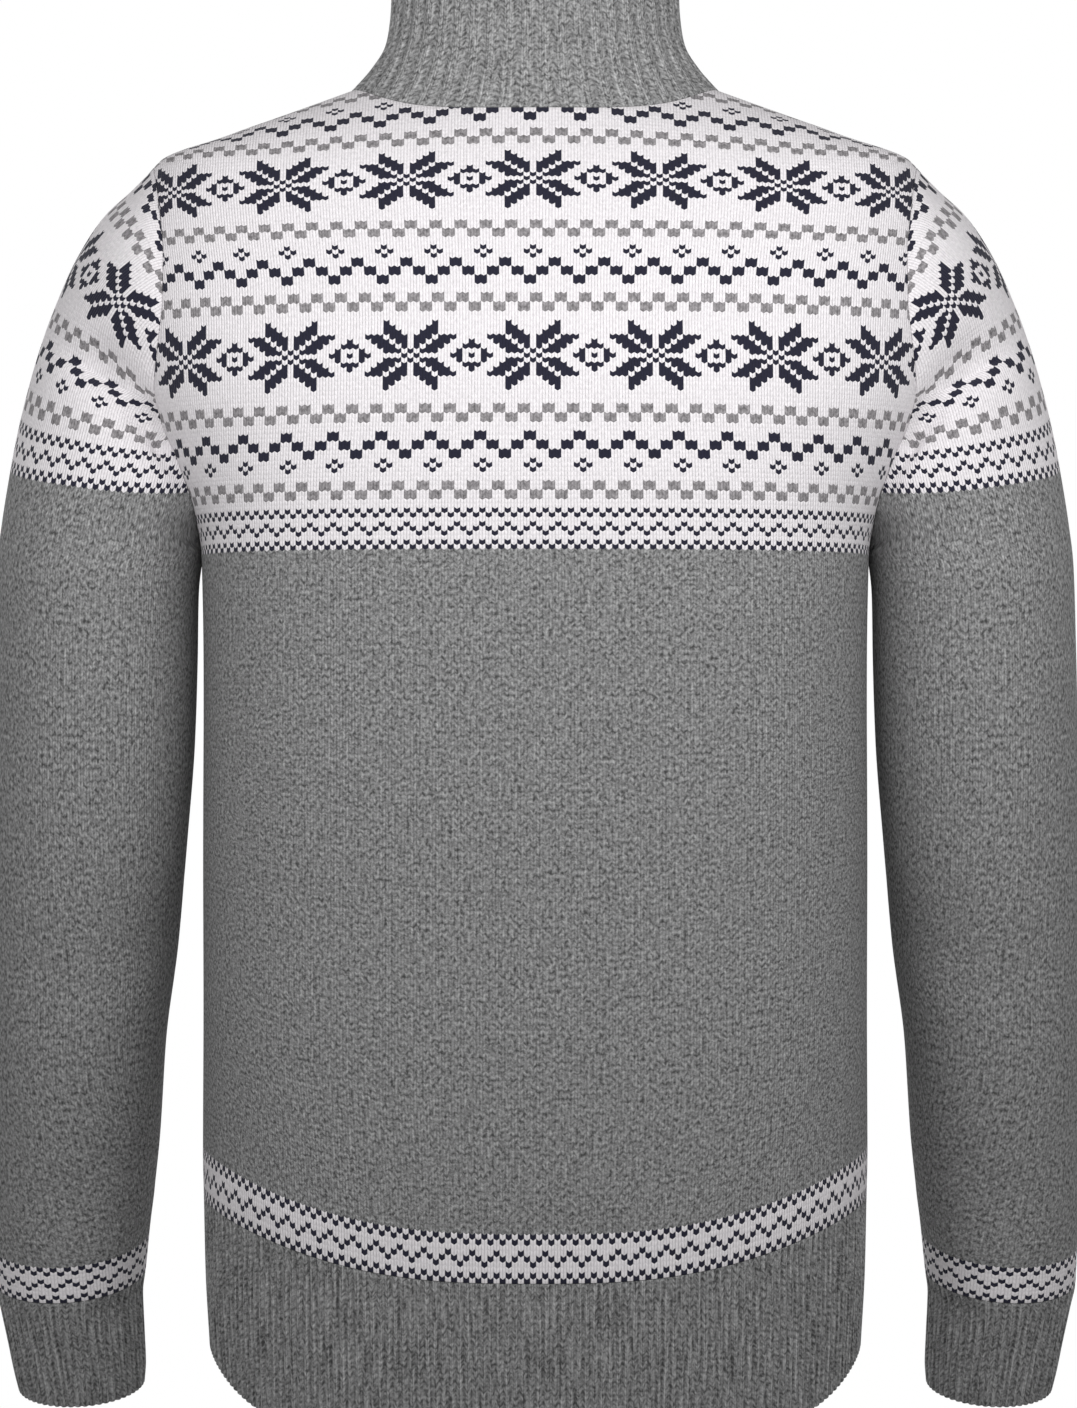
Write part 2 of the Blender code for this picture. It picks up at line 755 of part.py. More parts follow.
NECK_END, TAB_START = 6.0, 10.0  # where the neck starts to widen, and where the tab has its full width
ROUND_END, ROUND_POINTS = 1.35, 5  # turn of the tab's round end to either side, and its points
SLOT, SLOT_ABOVE_END = (2.4, 4.0, 9.0), 9.0
SMALL_BEVEL, LUG_BEVEL, BOX_BEVEL = 0.4, 0.3, 0.6
CUTTER_LENGTH = 12.0


class ZipLine:
    """The fastened zip's line up the fronts and the collar, taken from the corners of the left pieces."""

    def __init__(self, pieces):
        edges, seconds, facings, turned = [], [], [], []
        for points, normals in pieces:
            edges.append(points[:, -1])
            seconds.append(points[:, -2])
            facings.append(normals[:, -1])
            turned.append(normals[:, -2])
        self.edge, self.second = np.concatenate(edges), np.concatenate(seconds)
        self.facing, self.turned = np.concatenate(facings), np.concatenate(turned)

    def column(self, x, sink):
        """The line that runs x from the middle at a depth below the outside of the cloth."""
        share = (abs(x) - self.edge[:, :1]) / (self.second[:, :1] - self.edge[:, :1])
        outside = self.edge + share * (self.second - self.edge)
        facing = self.facing + share * (self.turned - self.facing)
        line = outside - sink * facing / np.linalg.norm(facing, axis=1, keepdims=True)
        line[:, 0] = x
        return line

    def at(self, height, sink=0.0, x=0.0):
        """The point at a height on the line that runs x from the middle."""
        line = self.column(x, sink)
        return np.array((x, float(np.interp(height, line[:, 2], line[:, 1])), height))

    def tilt(self, height):
        """How far the line leans from upright at a height, as a turn about X."""
        low, high = self.at(height - SLIDER_LENGTH / 2), self.at(height + SLIDER_LENGTH / 2)
        return math.atan2(-(high[1] - low[1]), high[2] - low[2])


def make_strip(name, line, span, across, sink, wall, material, sign):
    """A band between two heights, from one distance beside the middle to another, as deep as its wall."""
    columns = [line.column(sign * x, sink) for x in across]
    backs = [line.column(sign * x, sink + wall) for x in across]
    heights = [h for h in columns[0][:, 2] if span[0] + 1 < h < span[1] - 1]
    heights = [span[0], *heights, span[1]]
    rows, sunk = [], []
    for height in heights:
        share = np.interp(height, columns[0][:, 2], np.arange(len(columns[0])))
        rows.append([at_share(column, share) for column in columns])
        sunk.append([at_share(column, share) for column in backs])
    points, sunk = np.array(rows), np.array(sunk)
    return walled(name, points, (points - sunk) / wall, wall, material)


def at_share(line, share):
    """The point of a line at a fractional index."""
    return np.array([np.interp(share, np.arange(len(line)), line[:, axis]) for axis in range(3)])


def combine(base, helper, operation):
    """Joins a helper to a piece, or cuts it out of it."""
    step = base.modifiers.new(helper.name, "BOOLEAN")
    step.operation = operation
    step.object = helper
    helper.hide_render = True
    helper.display_type = "WIRE"


def joined(name, parts):
    """Makes overlapping parts one body."""
    base = parts[0]
    for other in parts[1:]:
        combine(base, other, "UNION")
    base.name = name


def rod(name, centre, radius, length, material):
    """A round pin along X."""
    bm = bmesh.new()
    bmesh.ops.create_cone(
        bm, cap_ends=True, segments=16, radius1=radius * MM, radius2=radius * MM, depth=length * MM
    )
    made = finish(name, bm, material)
    made.rotation_euler.y = math.pi / 2
    made.location = [value * MM for value in centre]
    return made


def make_zip(line, tape_cloth, nickel):
    """The tapes, the chain, its end pieces, and the slider with its hinged pull."""
    edge = line.column(TEETH_HALF, TAPE_SINK)[:, 2]
    foot, head = float(edge[0]), float(edge[-1])
    teeth_top = head - TOP_SPARE - STOP_HEIGHT - SLIDER_LENGTH / 2
    chain = (foot + CHAIN_FOOT, teeth_top)
    span = (foot + TAPE_ENDS, head - TAPE_ENDS)
    tape = (TEETH_HALF + SEAM_GAP, TEETH_HALF + TAPE_WIDTH)
    teeth = (CHAIN_SPLIT, TEETH_HALF)
    teeth_sink = CHAIN_SINK - TEETH_DEEP / 2
    stop_height = head - TOP_SPARE - STOP_HEIGHT / 2
    stop = (STOP_WIDTH, TEETH_DEEP, STOP_HEIGHT)
    for side, sign in SIDES.items():
        make_strip(f"zip_tape_{side}", line, span, tape, TAPE_SINK, TAPE_WALL, tape_cloth, sign)
        make_strip(f"zip_teeth_{side}", line, chain, teeth, teeth_sink, TEETH_DEEP, nickel, sign)
        place = line.at(stop_height, CHAIN_SINK, sign * STOP_X)
        block(f"zip_top_stop_{side}", place, stop, nickel, SMALL_BEVEL, line.tilt(stop_height))
    box_height = foot + BOX_MIDDLE
    box = (2 * TEETH_HALF, BOX_DEEP, BOX_LENGTH)
    block("zip_box", line.at(box_height, CHAIN_SINK), box, nickel, BOX_BEVEL, line.tilt(box_height))
    make_slider(line, teeth_top, nickel)


def make_slider(line, middle, nickel):
    """The slider, with its middle at the top of the chain, and the pull on its pin."""
    tilt = line.tilt(middle)
    plate_sink = TEETH_DEEP / 2 + PLATE_CLEAR + PLATE / 2
    plate = (2 * SLIDER_HALF, PLATE, SLIDER_LENGTH)
    parts = []
    for name, sink in (("slider_front", CHAIN_SINK - plate_sink), ("slider_back", CHAIN_SINK + plate_sink)):
        parts.append(block(name, line.at(middle, sink), plate, nickel, SMALL_BEVEL, tilt))
    low, high = POST_ENDS
    post = (POST_WIDTH, 2 * plate_sink, high - low)
    post_place = line.at(middle + (low + high) / 2, CHAIN_SINK)
    parts.append(block("slider_post", post_place, post, nickel, tilt=tilt))
    pin_sink = CHAIN_SINK - plate_sink - PLATE / 2 - PIN_RISE
    pin_height = middle + PIN_HEIGHT
    for side, sign in SIDES.items():
        place = line.at(pin_height, pin_sink + LUG_RISE, sign * LUG_X)
        parts.append(block(f"slider_lug_{side}", place, LUG, nickel, LUG_BEVEL, tilt))
    pin_centre = line.at(pin_height, pin_sink)
    parts.append(rod("slider_pin", pin_centre, PIN_RADIUS, PIN_LENGTH, nickel))
    joined("zip_slider", parts)
    make_pull(pin_centre, tilt, nickel)


def tab_outline():
    """Half the outline of the pull tab below its eye: a narrow neck that widens into a round-ended tab."""
    half = PULL_WIDTH / 2
    end = PULL_LENGTH - half
    turns = np.linspace(0.0, ROUND_END, ROUND_POINTS)
    round_end = [(half * math.cos(turn), -end - half * math.sin(turn)) for turn in turns]
    return [(NECK_HALF, -EYE_WALL), (NECK_HALF, -NECK_END), (half, -TAB_START), *round_end]


def make_pull(pin_centre, tilt, nickel):
    """The pull tab, hung by its eye on the pin of the slider, with a slot to take a cord."""
    half = tab_outline()
    outline = half + [(-x, z) for x, z in reversed(half)]
    bm = bmesh.new()
    verts = [bm.verts.new((x * MM, -PULL_WALL / 2 * MM, z * MM)) for x, z in outline]
    lifted = bmesh.ops.extrude_face_region(bm, geom=[bm.faces.new(verts)])["geom"]
    moved = [item for item in lifted if isinstance(item, bmesh.types.BMVert)]
    bmesh.ops.translate(bm, verts=moved, vec=(0.0, PULL_WALL * MM, 0.0))
    pull = finish("zip_pull", bm, nickel)
    eye = rod("pull_eye", (0, 0, 0), EYE_RADIUS, EYE_LENGTH, nickel)
    hole = rod("pull_hole", (0, 0, 0), PIN_RADIUS + SEAM_GAP, CUTTER_LENGTH, nickel)
    slot = block("pull_slot", (0, 0, SLOT_ABOVE_END - PULL_LENGTH), SLOT, nickel)
    for helper, operation in ((eye, "UNION"), (hole, "DIFFERENCE"), (slot, "DIFFERENCE")):
        combine(pull, helper, operation)
        helper.parent = pull
    pull.rotation_euler.x = tilt
    pull.location = [value * MM for value in pin_centre]


def main():
    """Clears the scene and makes every piece."""
    for old in list(bpy.data.objects):
        bpy.data.objects.remove(old, do_unlink=True)
    wool = finish_material("grey wool", (0.23, 0.23, 0.23), 0.9)
    rib = finish_material("grey rib", (0.20, 0.20, 0.20), 0.9)
    tape = finish_material("zip tape", (0.06, 0.06, 0.065), 0.8)
    nickel = finish_material("nickel", (0.62, 0.60, 0.57), 0.35, metallic=1.0)
    pieces = [make_hem(rib), make_body(wool), make_collar(rib)]
    make_sleeves(wool, rib)
    make_zip(ZipLine(pieces), tape, nickel)


main()
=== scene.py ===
"""Looks of a full-zip knitted wool sweater, filled out as if worn, with nobody in it.

The wearer faces -Y, the back faces +Y, +Z is up, and the wearer's left sleeve lies at +X. Tables and
sizes are in millimetres, turns in radians, and the meshes in metres. Every piece of cloth is a thin wall
on the form of its own solid. Its knit is counted in stitches and rows, kept in a map called "knit", and
the finishes draw every stitch from that map.
"""

import logging
import math
from dataclasses import dataclass, field
from enum import Enum
from typing import NamedTuple

import bmesh
import bpy
import numpy as np
from mathutils import Matrix, Vector


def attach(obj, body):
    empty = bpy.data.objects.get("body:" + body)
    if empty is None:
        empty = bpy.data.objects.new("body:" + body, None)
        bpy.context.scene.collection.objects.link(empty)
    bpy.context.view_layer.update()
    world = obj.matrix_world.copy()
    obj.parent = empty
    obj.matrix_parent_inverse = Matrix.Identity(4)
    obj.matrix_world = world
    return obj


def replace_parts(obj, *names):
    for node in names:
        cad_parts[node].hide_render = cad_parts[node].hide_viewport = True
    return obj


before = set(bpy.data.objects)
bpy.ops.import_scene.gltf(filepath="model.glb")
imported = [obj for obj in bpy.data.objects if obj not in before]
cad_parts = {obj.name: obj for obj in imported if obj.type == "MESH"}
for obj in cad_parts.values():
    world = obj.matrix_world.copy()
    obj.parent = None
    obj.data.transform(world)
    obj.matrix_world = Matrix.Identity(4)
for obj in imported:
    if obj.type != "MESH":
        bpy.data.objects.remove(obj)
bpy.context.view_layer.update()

Array = np.ndarray
Material = bpy.types.Material
LOG = logging.getLogger("sweater")

MM = 0.001
WALL = 3.0
SEAM_GAP = 0.3
MIDDLE_Y = -4.0  # depth of the side seams
ZIP_OPENING = 6.5  # half the width left between the two front edges
BEND = 5  # how closely the rows of a panel keep to the middle's levels
KNIT = "knit"
FINE = "_fine"  # ends the name of a piece that stands for the solid of the same name
FOLD_FACING = 4.0  # how quickly a fold fades where the cloth turns away from its side
SAME_PLACE = 1e-6  # metres within which two points are one
RIM_ANGLE = math.radians(50)  # edges sharper than this are rounded


class Side(Enum):
    """A side of the wearer, with the sign of its X."""

    LEFT = 1
    RIGHT = -1

    @property
    def word(self) -> str:
        """The word that ends the names of this side's pieces."""
        return self.name.lower()


class Half(Enum):
    """The back or the front of the garment, with the sign of its Y."""

    BACK = 1
    FRONT = -1


# --- curves and tables -------------------------------------------------------------------------


class Curve:
    """A smooth curve through the points of a table, which never overshoots them and ends level."""

    def __init__(self, xs: list[float], ys: list[float]) -> None:
        """Fits the curve.

        Args:
            xs: The places of the points, rising.
            ys: Their heights.
        """
        self.xs, self.ys = np.asarray(xs, float), np.asarray(ys, float)
        width = np.diff(self.xs)
        rise = np.diff(self.ys) / width
        self.slopes = np.zeros(len(self.xs))
        self.slopes[0], self.slopes[-1] = rise[0], rise[-1]
        before, after = width[:-1] + 2 * width[1:], 2 * width[:-1] + width[1:]
        same_way = rise[:-1] * rise[1:] > 0
        first, second = np.where(same_way, rise[:-1], 1.0), np.where(same_way, rise[1:], 1.0)
        mean = (before + after) / (before / first + after / second)
        self.slopes[1:-1] = np.where(same_way, mean, 0.0)

    def __call__(self, x: Array) -> Array:
        """The heights of the curve.

        Args:
            x: Places, held between the ends of the table.

        Returns:
            A height for each place.
        """
        x = np.clip(x, self.xs[0], self.xs[-1])
        i = np.clip(np.searchsorted(self.xs, x, side="right") - 1, 0, len(self.xs) - 2)
        width = self.xs[i + 1] - self.xs[i]
        t = (x - self.xs[i]) / width
        start = (1 + 2 * t) * (1 - t) ** 2 * self.ys[i] + t * (1 - t) ** 2 * self.slopes[i] * width
        return start + t * t * (3 - 2 * t) * self.ys[i + 1] + t * t * (t - 1) * self.slopes[i + 1] * width


class Ring(NamedTuple):
    """A level line round the body: its heights, half width, reach behind and in front, and squareness.

    The last size is how much higher than an even curve it lies halfway between its middle and its side.
    """

    back: float
    side: float
    front: float
    half: float
    rear: float
    fore: float
    power: float
    rise: float = 0.0


BODY_RINGS = (
    Ring(-720, -684, -712, 179.5, 111, -117, 2.8, -12.0),  # hem
    Ring(-679, -644, -673, 181.7, 115.5, -120, 2.8, -4.0),
    Ring(-639, -603, -635, 182.6, 118, -123, 2.8, 2.5),  # top of the rib
    Ring(-615, -578, -612, 183.2, 119, -124, 2.8, 2.5),
    Ring(-534, -506, -530, 183.0, 115, -123, 2.8, 1.0),
    Ring(-434, -416, -432, 183.3, 110, -120, 2.8),  # waist
    Ring(-334, -326, -334, 183.0, 112, -121, 2.8),
    Ring(-259, -252, -260, 184.0, 118, -125, 2.7),  # armpits
    Ring(-204, -198, -208, 203.0, 121, -126, 2.6),
    Ring(-169, -162, -179, 219.0, 120, -124, 2.6),  # shoulder blades
    Ring(-134, -124, -155, 226.0, 115, -119, 2.6),
    Ring(-94, -80, -126, 224.0, 104, -108, 2.55),
    Ring(-60, -40, -106, 210.0, 92, -97, 2.5),  # shoulder points
    Ring(-43, -27, -96, 174.0, 84, -91, 2.45),
    Ring(-27, -13.5, -84, 137.5, 75, -84, 2.4, -3.0),
    Ring(-13, 0, -72, 103.0, 66, -77, 2.3, -6.5),  # neck
)
COLLAR_RINGS = (
    Ring(-12.7, 0.3, -71.7, 103.0, 66.0, -77.0, 2.3, -6.5),
    Ring(-1, 12, -59, 92.3, 62.0, -78.5, 2.2, -3.5),
    Ring(11, 23, -46, 84.8, 58.5, -79.5, 2.2),
    Ring(23, 34, -34, 81.7, 56.0, -80.0, 2.2),
    Ring(43, 50, -14, 80.0, 53.5, -79.5, 2.2),
    Ring(63, 66, 6, 79.5, 52.0, -78.0, 2.2),
)
HEM, RIB_TOP, ARMPIT, SHOULDER = -720.0, -639.0, -259.0, -60.0


class Edge(NamedTuple):
    """Where the armhole seam crosses a level: distance from the middle on the back and on the front."""

    level: float
    back: float
    front: float


ARMHOLE = (
    Edge(-259, 184.0, 184.0),
    Edge(-236, 185.5, 184.5),
    Edge(-222, 189.0, 186.0),
    Edge(-208, 194.0, 187.5),
    Edge(-187, 203.0, 190.5),
    Edge(-172, 206.0, 191.5),
    Edge(-147, 203.0, 192.0),
    Edge(-128, 200.5, 193.0),
    Edge(-108, 200.5, 196.0),
    Edge(-83, 203.5, 202.0),
    Edge(-60, 210.0, 210.0),
)


class PanelRow(NamedTuple):
    """A row of a body panel: its level in the middle and at its side, and rows of mesh up to the next."""

    middle: float
    side: float
    cells: int


BODY_ROWS = (
    PanelRow(-639, -639, 16),
    PanelRow(-575, -573, 16),
    PanelRow(-512, -508, 16),
    PanelRow(-448, -442, 16),
    PanelRow(-385, -377, 15),
    PanelRow(-328, -312, 13),
    PanelRow(-280, -259, 4),  # armpit
    PanelRow(-262, -257.5, 4),
    PanelRow(-245, -252, 4),
    PanelRow(-228, -241, 4),
    PanelRow(-211, -224, 5),
    PanelRow(-194, -205, 5),
    PanelRow(-178, -187, 5),
    PanelRow(-162, -163, 5),
    PanelRow(-146, -140, 5),
    PanelRow(-130, -116, 5),
    PanelRow(-113, -94, 5),
    PanelRow(-97, -80, 4),
    PanelRow(-81, -70, 3),
    PanelRow(-67, -63.5, 3),
    PanelRow(-54, -60.8, 3),
    PanelRow(-42, -60, 4),  # shoulder point
    PanelRow(-32, -44, 4),
    PanelRow(-22, -28, 4),
    PanelRow(-13, -13, 0),
)


class SideSeam(NamedTuple):
    """How far round from the middle of the back the side seam lies at a level, in degrees."""

    level: float
    turn: float


SIDE_SEAM = (SideSeam(-720, 84), SideSeam(-500, 84), SideSeam(-334, 87), SideSeam(-259, 90))


class ArmRow(NamedTuple):
    """A line round the sleeve below the armpit: its outer and inner points, depth, half depth and slope."""

    out_x: float
    out_z: float
    in_x: float
    in_z: float
    y: float
    deep: float
    drop: float


ARM_ROWS = (
    ArmRow(295.0, -724, 223.5, -722, -76, 39.0, 0.18),  # end of the cuff
    ArmRow(297.5, -712, 222.5, -710, -73, 40.5, 0.19),
    ArmRow(300.5, -695, 223.0, -692, -70, 42.0, 0.20),
    ArmRow(304.5, -673, 223.5, -670, -65.5, 44.5, 0.21),
    ArmRow(306.8, -660, 221.7, -656, -63, 47.0, 0.22),  # top of the cuff
    ArmRow(307.2, -637, 218.9, -632, -58, 48.5, 0.22),
    ArmRow(307.0, -580, 211.9, -576, -47, 52.0, 0.20),
    ArmRow(306.3, -525, 207.5, -521, -36, 55.0, 0.17),
    ArmRow(305.3, -470, 199.8, -468, -27, 58.0, 0.13),
    ArmRow(303.6, -410, 194.3, -411, -18, 61.0, 0.10),
    ArmRow(301.5, -350, 189.5, -355, -12, 64.0, 0.07),
    ArmRow(299.8, -300, 187.7, -310, -8, 65.0, 0.05),
    ArmRow(298.0, -256, 186.8, -272, -5, 65.0, 0.04),
    ArmRow(295.0, -232, 184.4, -252, -4, 63.0, 0.03),  # armpit
)
CUFF_TOP_ROW = 4


class CapRow(NamedTuple):
    """A line over the sleeve head: its outer point, the level where it meets the armhole, and its depth."""

    out_x: float
    out_z: float
    level: float
    y: float
    deep: float
    drop: float


CAP_ROWS = (
    CapRow(291.0, -206.0, -229, -5, 63, 0.03),
    CapRow(286.5, -182.0, -211, -6, 62, 0.03),
    CapRow(281.5, -161.0, -196, -7, 60, 0.02),
    CapRow(273.0, -131.5, -179, -8, 58, 0.0),
    CapRow(265.5, -112.0, -163, -8, 56, 0.0),
    CapRow(254.0, -87.0, -142, -8, 54, 0.0),
    CapRow(238.0, -63.5, -118, -7, 50, 0.0),
    CapRow(222.0, -49.5, -97, -6, 46, 0.0),
    CapRow(210.0, -40.0, -80, -4, 40, 0.0),  # along the top of the armhole
)
HEAD_TOP = -80.0
HUB_Y, HUB_Z = -8.0, -148.0  # middle of the armhole
LEAN_FROM, LEAN_TO = -241.0, -187.0
FAN = 36.0  # how much lower the row that ends in the armpit crosses the outer ridge
FAN_END = 93.0
ARMHOLE_LEVELS = [row.side for row in BODY_ROWS if ARMPIT <= row.side <= SHOULDER]


class Fold(NamedTuple):
    """A soft trough (below 0) or ridge between two points seen from behind (+1) or in front (-1)."""

    face: int
    x0: float
    z0: float
    x1: float
    z1: float
    width: float
    depth: float


SLEEVE_FOLDS = (
    Fold(1, 238, -148, 199, -191, 12, -5.0),  # drag line that runs down into the armpit
    Fold(-1, 224, -158, 199, -214, 16, -3.5),
    Fold(1, 208, -462, 262, -486, 24, -2.5),  # inside the elbow
    Fold(-1, 212, -452, 268, -470, 22, -4.0),
    Fold(1, 219, -174, 203, -191, 3.5, -1.9),  # crease beside the armhole seam
    Fold(1, 203, -191, 189, -222, 4.0, -2.2),
    Fold(1, 212, -158, 200, -178, 6.0, 1.2),
    Fold(-1, 217, -172, 200, -198, 4.5, -1.8),
    Fold(-1, 222, -300, 250, -322, 16, -1.6),
    Fold(1, 226, -590, 262, -606, 17, -1.4),
    Fold(-1, 230, -560, 268, -580, 15, -2.0),
    Fold(-1, 228, -612, 262, -626, 11, 1.6),
    Fold(1, 236, -636, 268, -642, 9, 1.1),
)
BODY_FOLDS = (
    Fold(1, 166, -300, 160, -560, 26, -1.5),
    Fold(-1, 158, -270, 140, -560, 30, -2.5),
    Fold(-1, 176, -236, 150, -262, 13, -1.8),  # drag lines at the front of the armpit
    Fold(-1, 172, -214, 132, -232, 15, 1.4),
    Fold(-1, 40, -600, 120, -612, 15, 1.3),  # slack above the front rib
    Fold(-1, 62, -570, 150, -590, 17, -1.2),
    Fold(1, 60, -606, 146, -600, 15, 0.9),
)


def column(rows: tuple, name: str) -> list[float]:
    """One named column of a table."""
    return [getattr(row, name) for row in rows]


def unit(vectors: Array) -> Array:
    """Vectors of the same directions and length 1."""
    return vectors / np.linalg.norm(vectors, axis=-1, keepdims=True)


def ease(share: Array) -> Array:
    """A share held between 0 and 1, with soft ends."""
    share = np.clip(share, 0.0, 1.0)
    return share * share * (3 - 2 * share)


def blend(first: Array, second: Array, share: Array) -> Array:
    """Values part of the way from the first to the second."""
    return first + (second - first) * share


def stretches(values: list[float], cells: list[int]) -> Array:
    """Values with each stretch between two of them divided into its own number of equal cells.

    Args:
        values: The ends of the stretches.
        cells: How many cells each stretch gets.

    Returns:
        All the values in order.
    """
    pieces = [np.linspace(a, b, n, endpoint=False) for a, b, n in zip(values, values[1:], cells)]
    return np.concatenate([*pieces, [values[-1]]])


def lengths_along(points: Array, axis: int) -> Array:
    """Lengths along a grid's lines, from 0 at their start.

    Args:
        points: A grid of points.
        axis: The axis of the grid that the lines follow.

    Returns:
        The length from the start of the line to each point.
    """
    steps = np.linalg.norm(np.diff(points, axis=axis), axis=-1)
    start = np.zeros_like(np.take(steps, [0], axis=axis))
    return np.concatenate((start, np.cumsum(steps, axis=axis)), axis=axis)


# --- the forms of the body and the sleeves -------------------------------------------------------


def squared(turn: Array, power: Array) -> Array:
    """The turns whose sines and cosines are, in proportion, a power of those of the given turns."""
    across, along = np.sin(turn), np.cos(turn)
    return np.arctan2(np.sign(across) * np.abs(across) ** power, np.sign(along) * np.abs(along) ** power)


class RingForm:
    """A surface of level rings, by level and by turn from the middle of the back to the wearer's left."""

    READINGS = 65  # places round a stretch where its length is read

    def __init__(self, rings: tuple[Ring, ...]) -> None:
        """Fits a curve through each column of the rings."""
        levels = column(rings, "back")
        self.lowest, self.highest = levels[0], levels[-1]
        self.curves = {name: Curve(levels, column(rings, name)) for name in Ring._fields}

    def at(self, name: str, level: Array) -> Array:
        """One size of the rings at any levels."""
        return self.curves[name](level)

    def point(self, level: Array, turn: Array) -> Array:
        """The points of the surface.

        Args:
            level: Levels of the points.
            turn: Their turns.

        Returns:
            The points, in one more dimension.
        """
        across, along = np.sin(turn), np.cos(turn)
        power = 2 / self.at("power", level)
        x = self.at("half", level) * np.sign(across) * np.abs(across) ** power
        rear, fore = self.at("rear", level) - MIDDLE_Y, MIDDLE_Y - self.at("fore", level)
        y = MIDDLE_Y + np.where(along >= 0, rear, fore) * np.sign(along) * np.abs(along) ** power
        back, side, front = (self.at(name, level) for name in ("back", "side", "front"))
        sway = ((back + front) / 2 - side) / 2
        z = side + sway + (back - front) / 2 * along + sway * np.cos(2 * turn)
        z = z + self.at("rise", level) * np.sin(2 * turn) ** 2
        return np.stack((x, y, z), axis=-1)

    def normal(self, level: Array, turn: Array) -> Array:
        """The directions that face out of the surface, for the same arguments as its points."""
        step, swing = 1.5, 0.02
        below, above = np.maximum(level - step, self.lowest), np.minimum(level + step, self.highest)
        up = self.point(above, turn) - self.point(below, turn)
        round_it = self.point(level, turn + swing) - self.point(level, turn - swing)
        return unit(np.cross(up, round_it))

    def turn_at(self, level: Array, x: Array, half: Half) -> Array:
        """The turns at which the rings lie a distance x from the middle."""
        share = np.minimum(1.0, np.abs(x) / self.at("half", level))
        turn = np.arcsin(share ** (self.at("power", level) / 2))
        return math.pi - turn if half is Half.FRONT else turn

    def even_turns(self, level: Array, first: Array, last: Array, share: Array) -> Array:
        """Turns that divide each ring's stretch by length.

        Args:
            level: Levels of the rings.
            first: Turns where the stretches start.
            last: Turns where they end.
            share: How much of its length each turn leaves behind, from 0 to 1.

        Returns:
            One turn for each level.
        """
        power = self.at("power", level)
        start, end = squared(first, 2 / power)[..., None], squared(last, 2 / power)[..., None]
        swings = start + (end - start) * np.linspace(0, 1, self.READINGS)
        turns = squared(swings, power[..., None] / 2)
        arc = lengths_along(self.point(level[..., None] + 0 * turns, turns), turns.ndim - 1)
        wanted = share * arc[..., -1]
        index = np.clip((arc <= wanted[..., None]).sum(axis=-1) - 1, 0, turns.shape[-1] - 2)[..., None]
        low, high = (np.take_along_axis(arc, index + step, -1)[..., 0] for step in (0, 1))
        before, after = (np.take_along_axis(swings, index + step, -1)[..., 0] for step in (0, 1))
        return squared(blend(before, after, (wanted - low) / (high - low)), power / 2)


BODY = RingForm(BODY_RINGS)
COLLAR = RingForm(COLLAR_RINGS)
SIDE_CURVE = Curve(column(SIDE_SEAM, "level"), [math.radians(seam.turn) for seam in SIDE_SEAM])
ARMHOLE_CURVES = {
    Half.BACK: Curve(column(ARMHOLE, "level"), column(ARMHOLE, "back")),
    Half.FRONT: Curve(column(ARMHOLE, "level"), column(ARMHOLE, "front")),
}


def edge_turn(level: Array, half: Half) -> Array:
    """The turn of a body panel's outer edge: its side seam, then its armhole, then its shoulder seam."""
    armhole = BODY.turn_at(level, ARMHOLE_CURVES[half](level), half)
    upper = np.where(level >= SHOULDER, math.pi / 2, armhole)
    return np.where(level <= ARMPIT, SIDE_CURVE(level), upper)


def fold_height(folds: tuple[Fold, ...], points: Array, normals: Array) -> Array:
    """How far all the folds together push the cloth out, the same on both sides of the body.

    Args:
        folds: The folds of this piece.
        points: The points of the cloth.
        normals: The directions that face out of it.

    Returns:
        One height for each point.
    """
    height = np.zeros(points.shape[:-1])
    place = np.stack((np.abs(points[..., 0]), points[..., 2]), axis=-1)
    for fold in folds:
        start, run = np.array((fold.x0, fold.z0)), np.array((fold.x1 - fold.x0, fold.z1 - fold.z0))
        near = np.clip((place - start) @ run / (run @ run), 0.0, 1.0)
        away = np.linalg.norm(place - start - near[..., None] * run, axis=-1)
        facing = ease(normals[..., 1] * fold.face * FOLD_FACING)
        height += facing * fold.depth * np.exp(-((away / fold.width) ** 2))
    return height


def corner(level: Array, half: Half) -> Array:
    """The points of the armhole seam at the wearer's left."""
    return BODY.point(level, edge_turn(level, half))


def lean(level: Array, half: Half) -> Array:
    """The directions in which two walls meet at the armhole: between out of the body and out of the hole."""
    turn = edge_turn(level, half)
    point = BODY.point(level, turn)
    hub = np.stack((point[..., 0], HUB_Y + 0 * level, HUB_Z + 0 * level), axis=-1)
    return unit(unit(point - hub) + BODY.normal(level, turn))


def lean_share(level: Array) -> Array:
    """How far the walls lean towards each other, from 0 at the armpit to 1."""
    return ease((level - LEAN_FROM) / (LEAN_TO - LEAN_FROM))


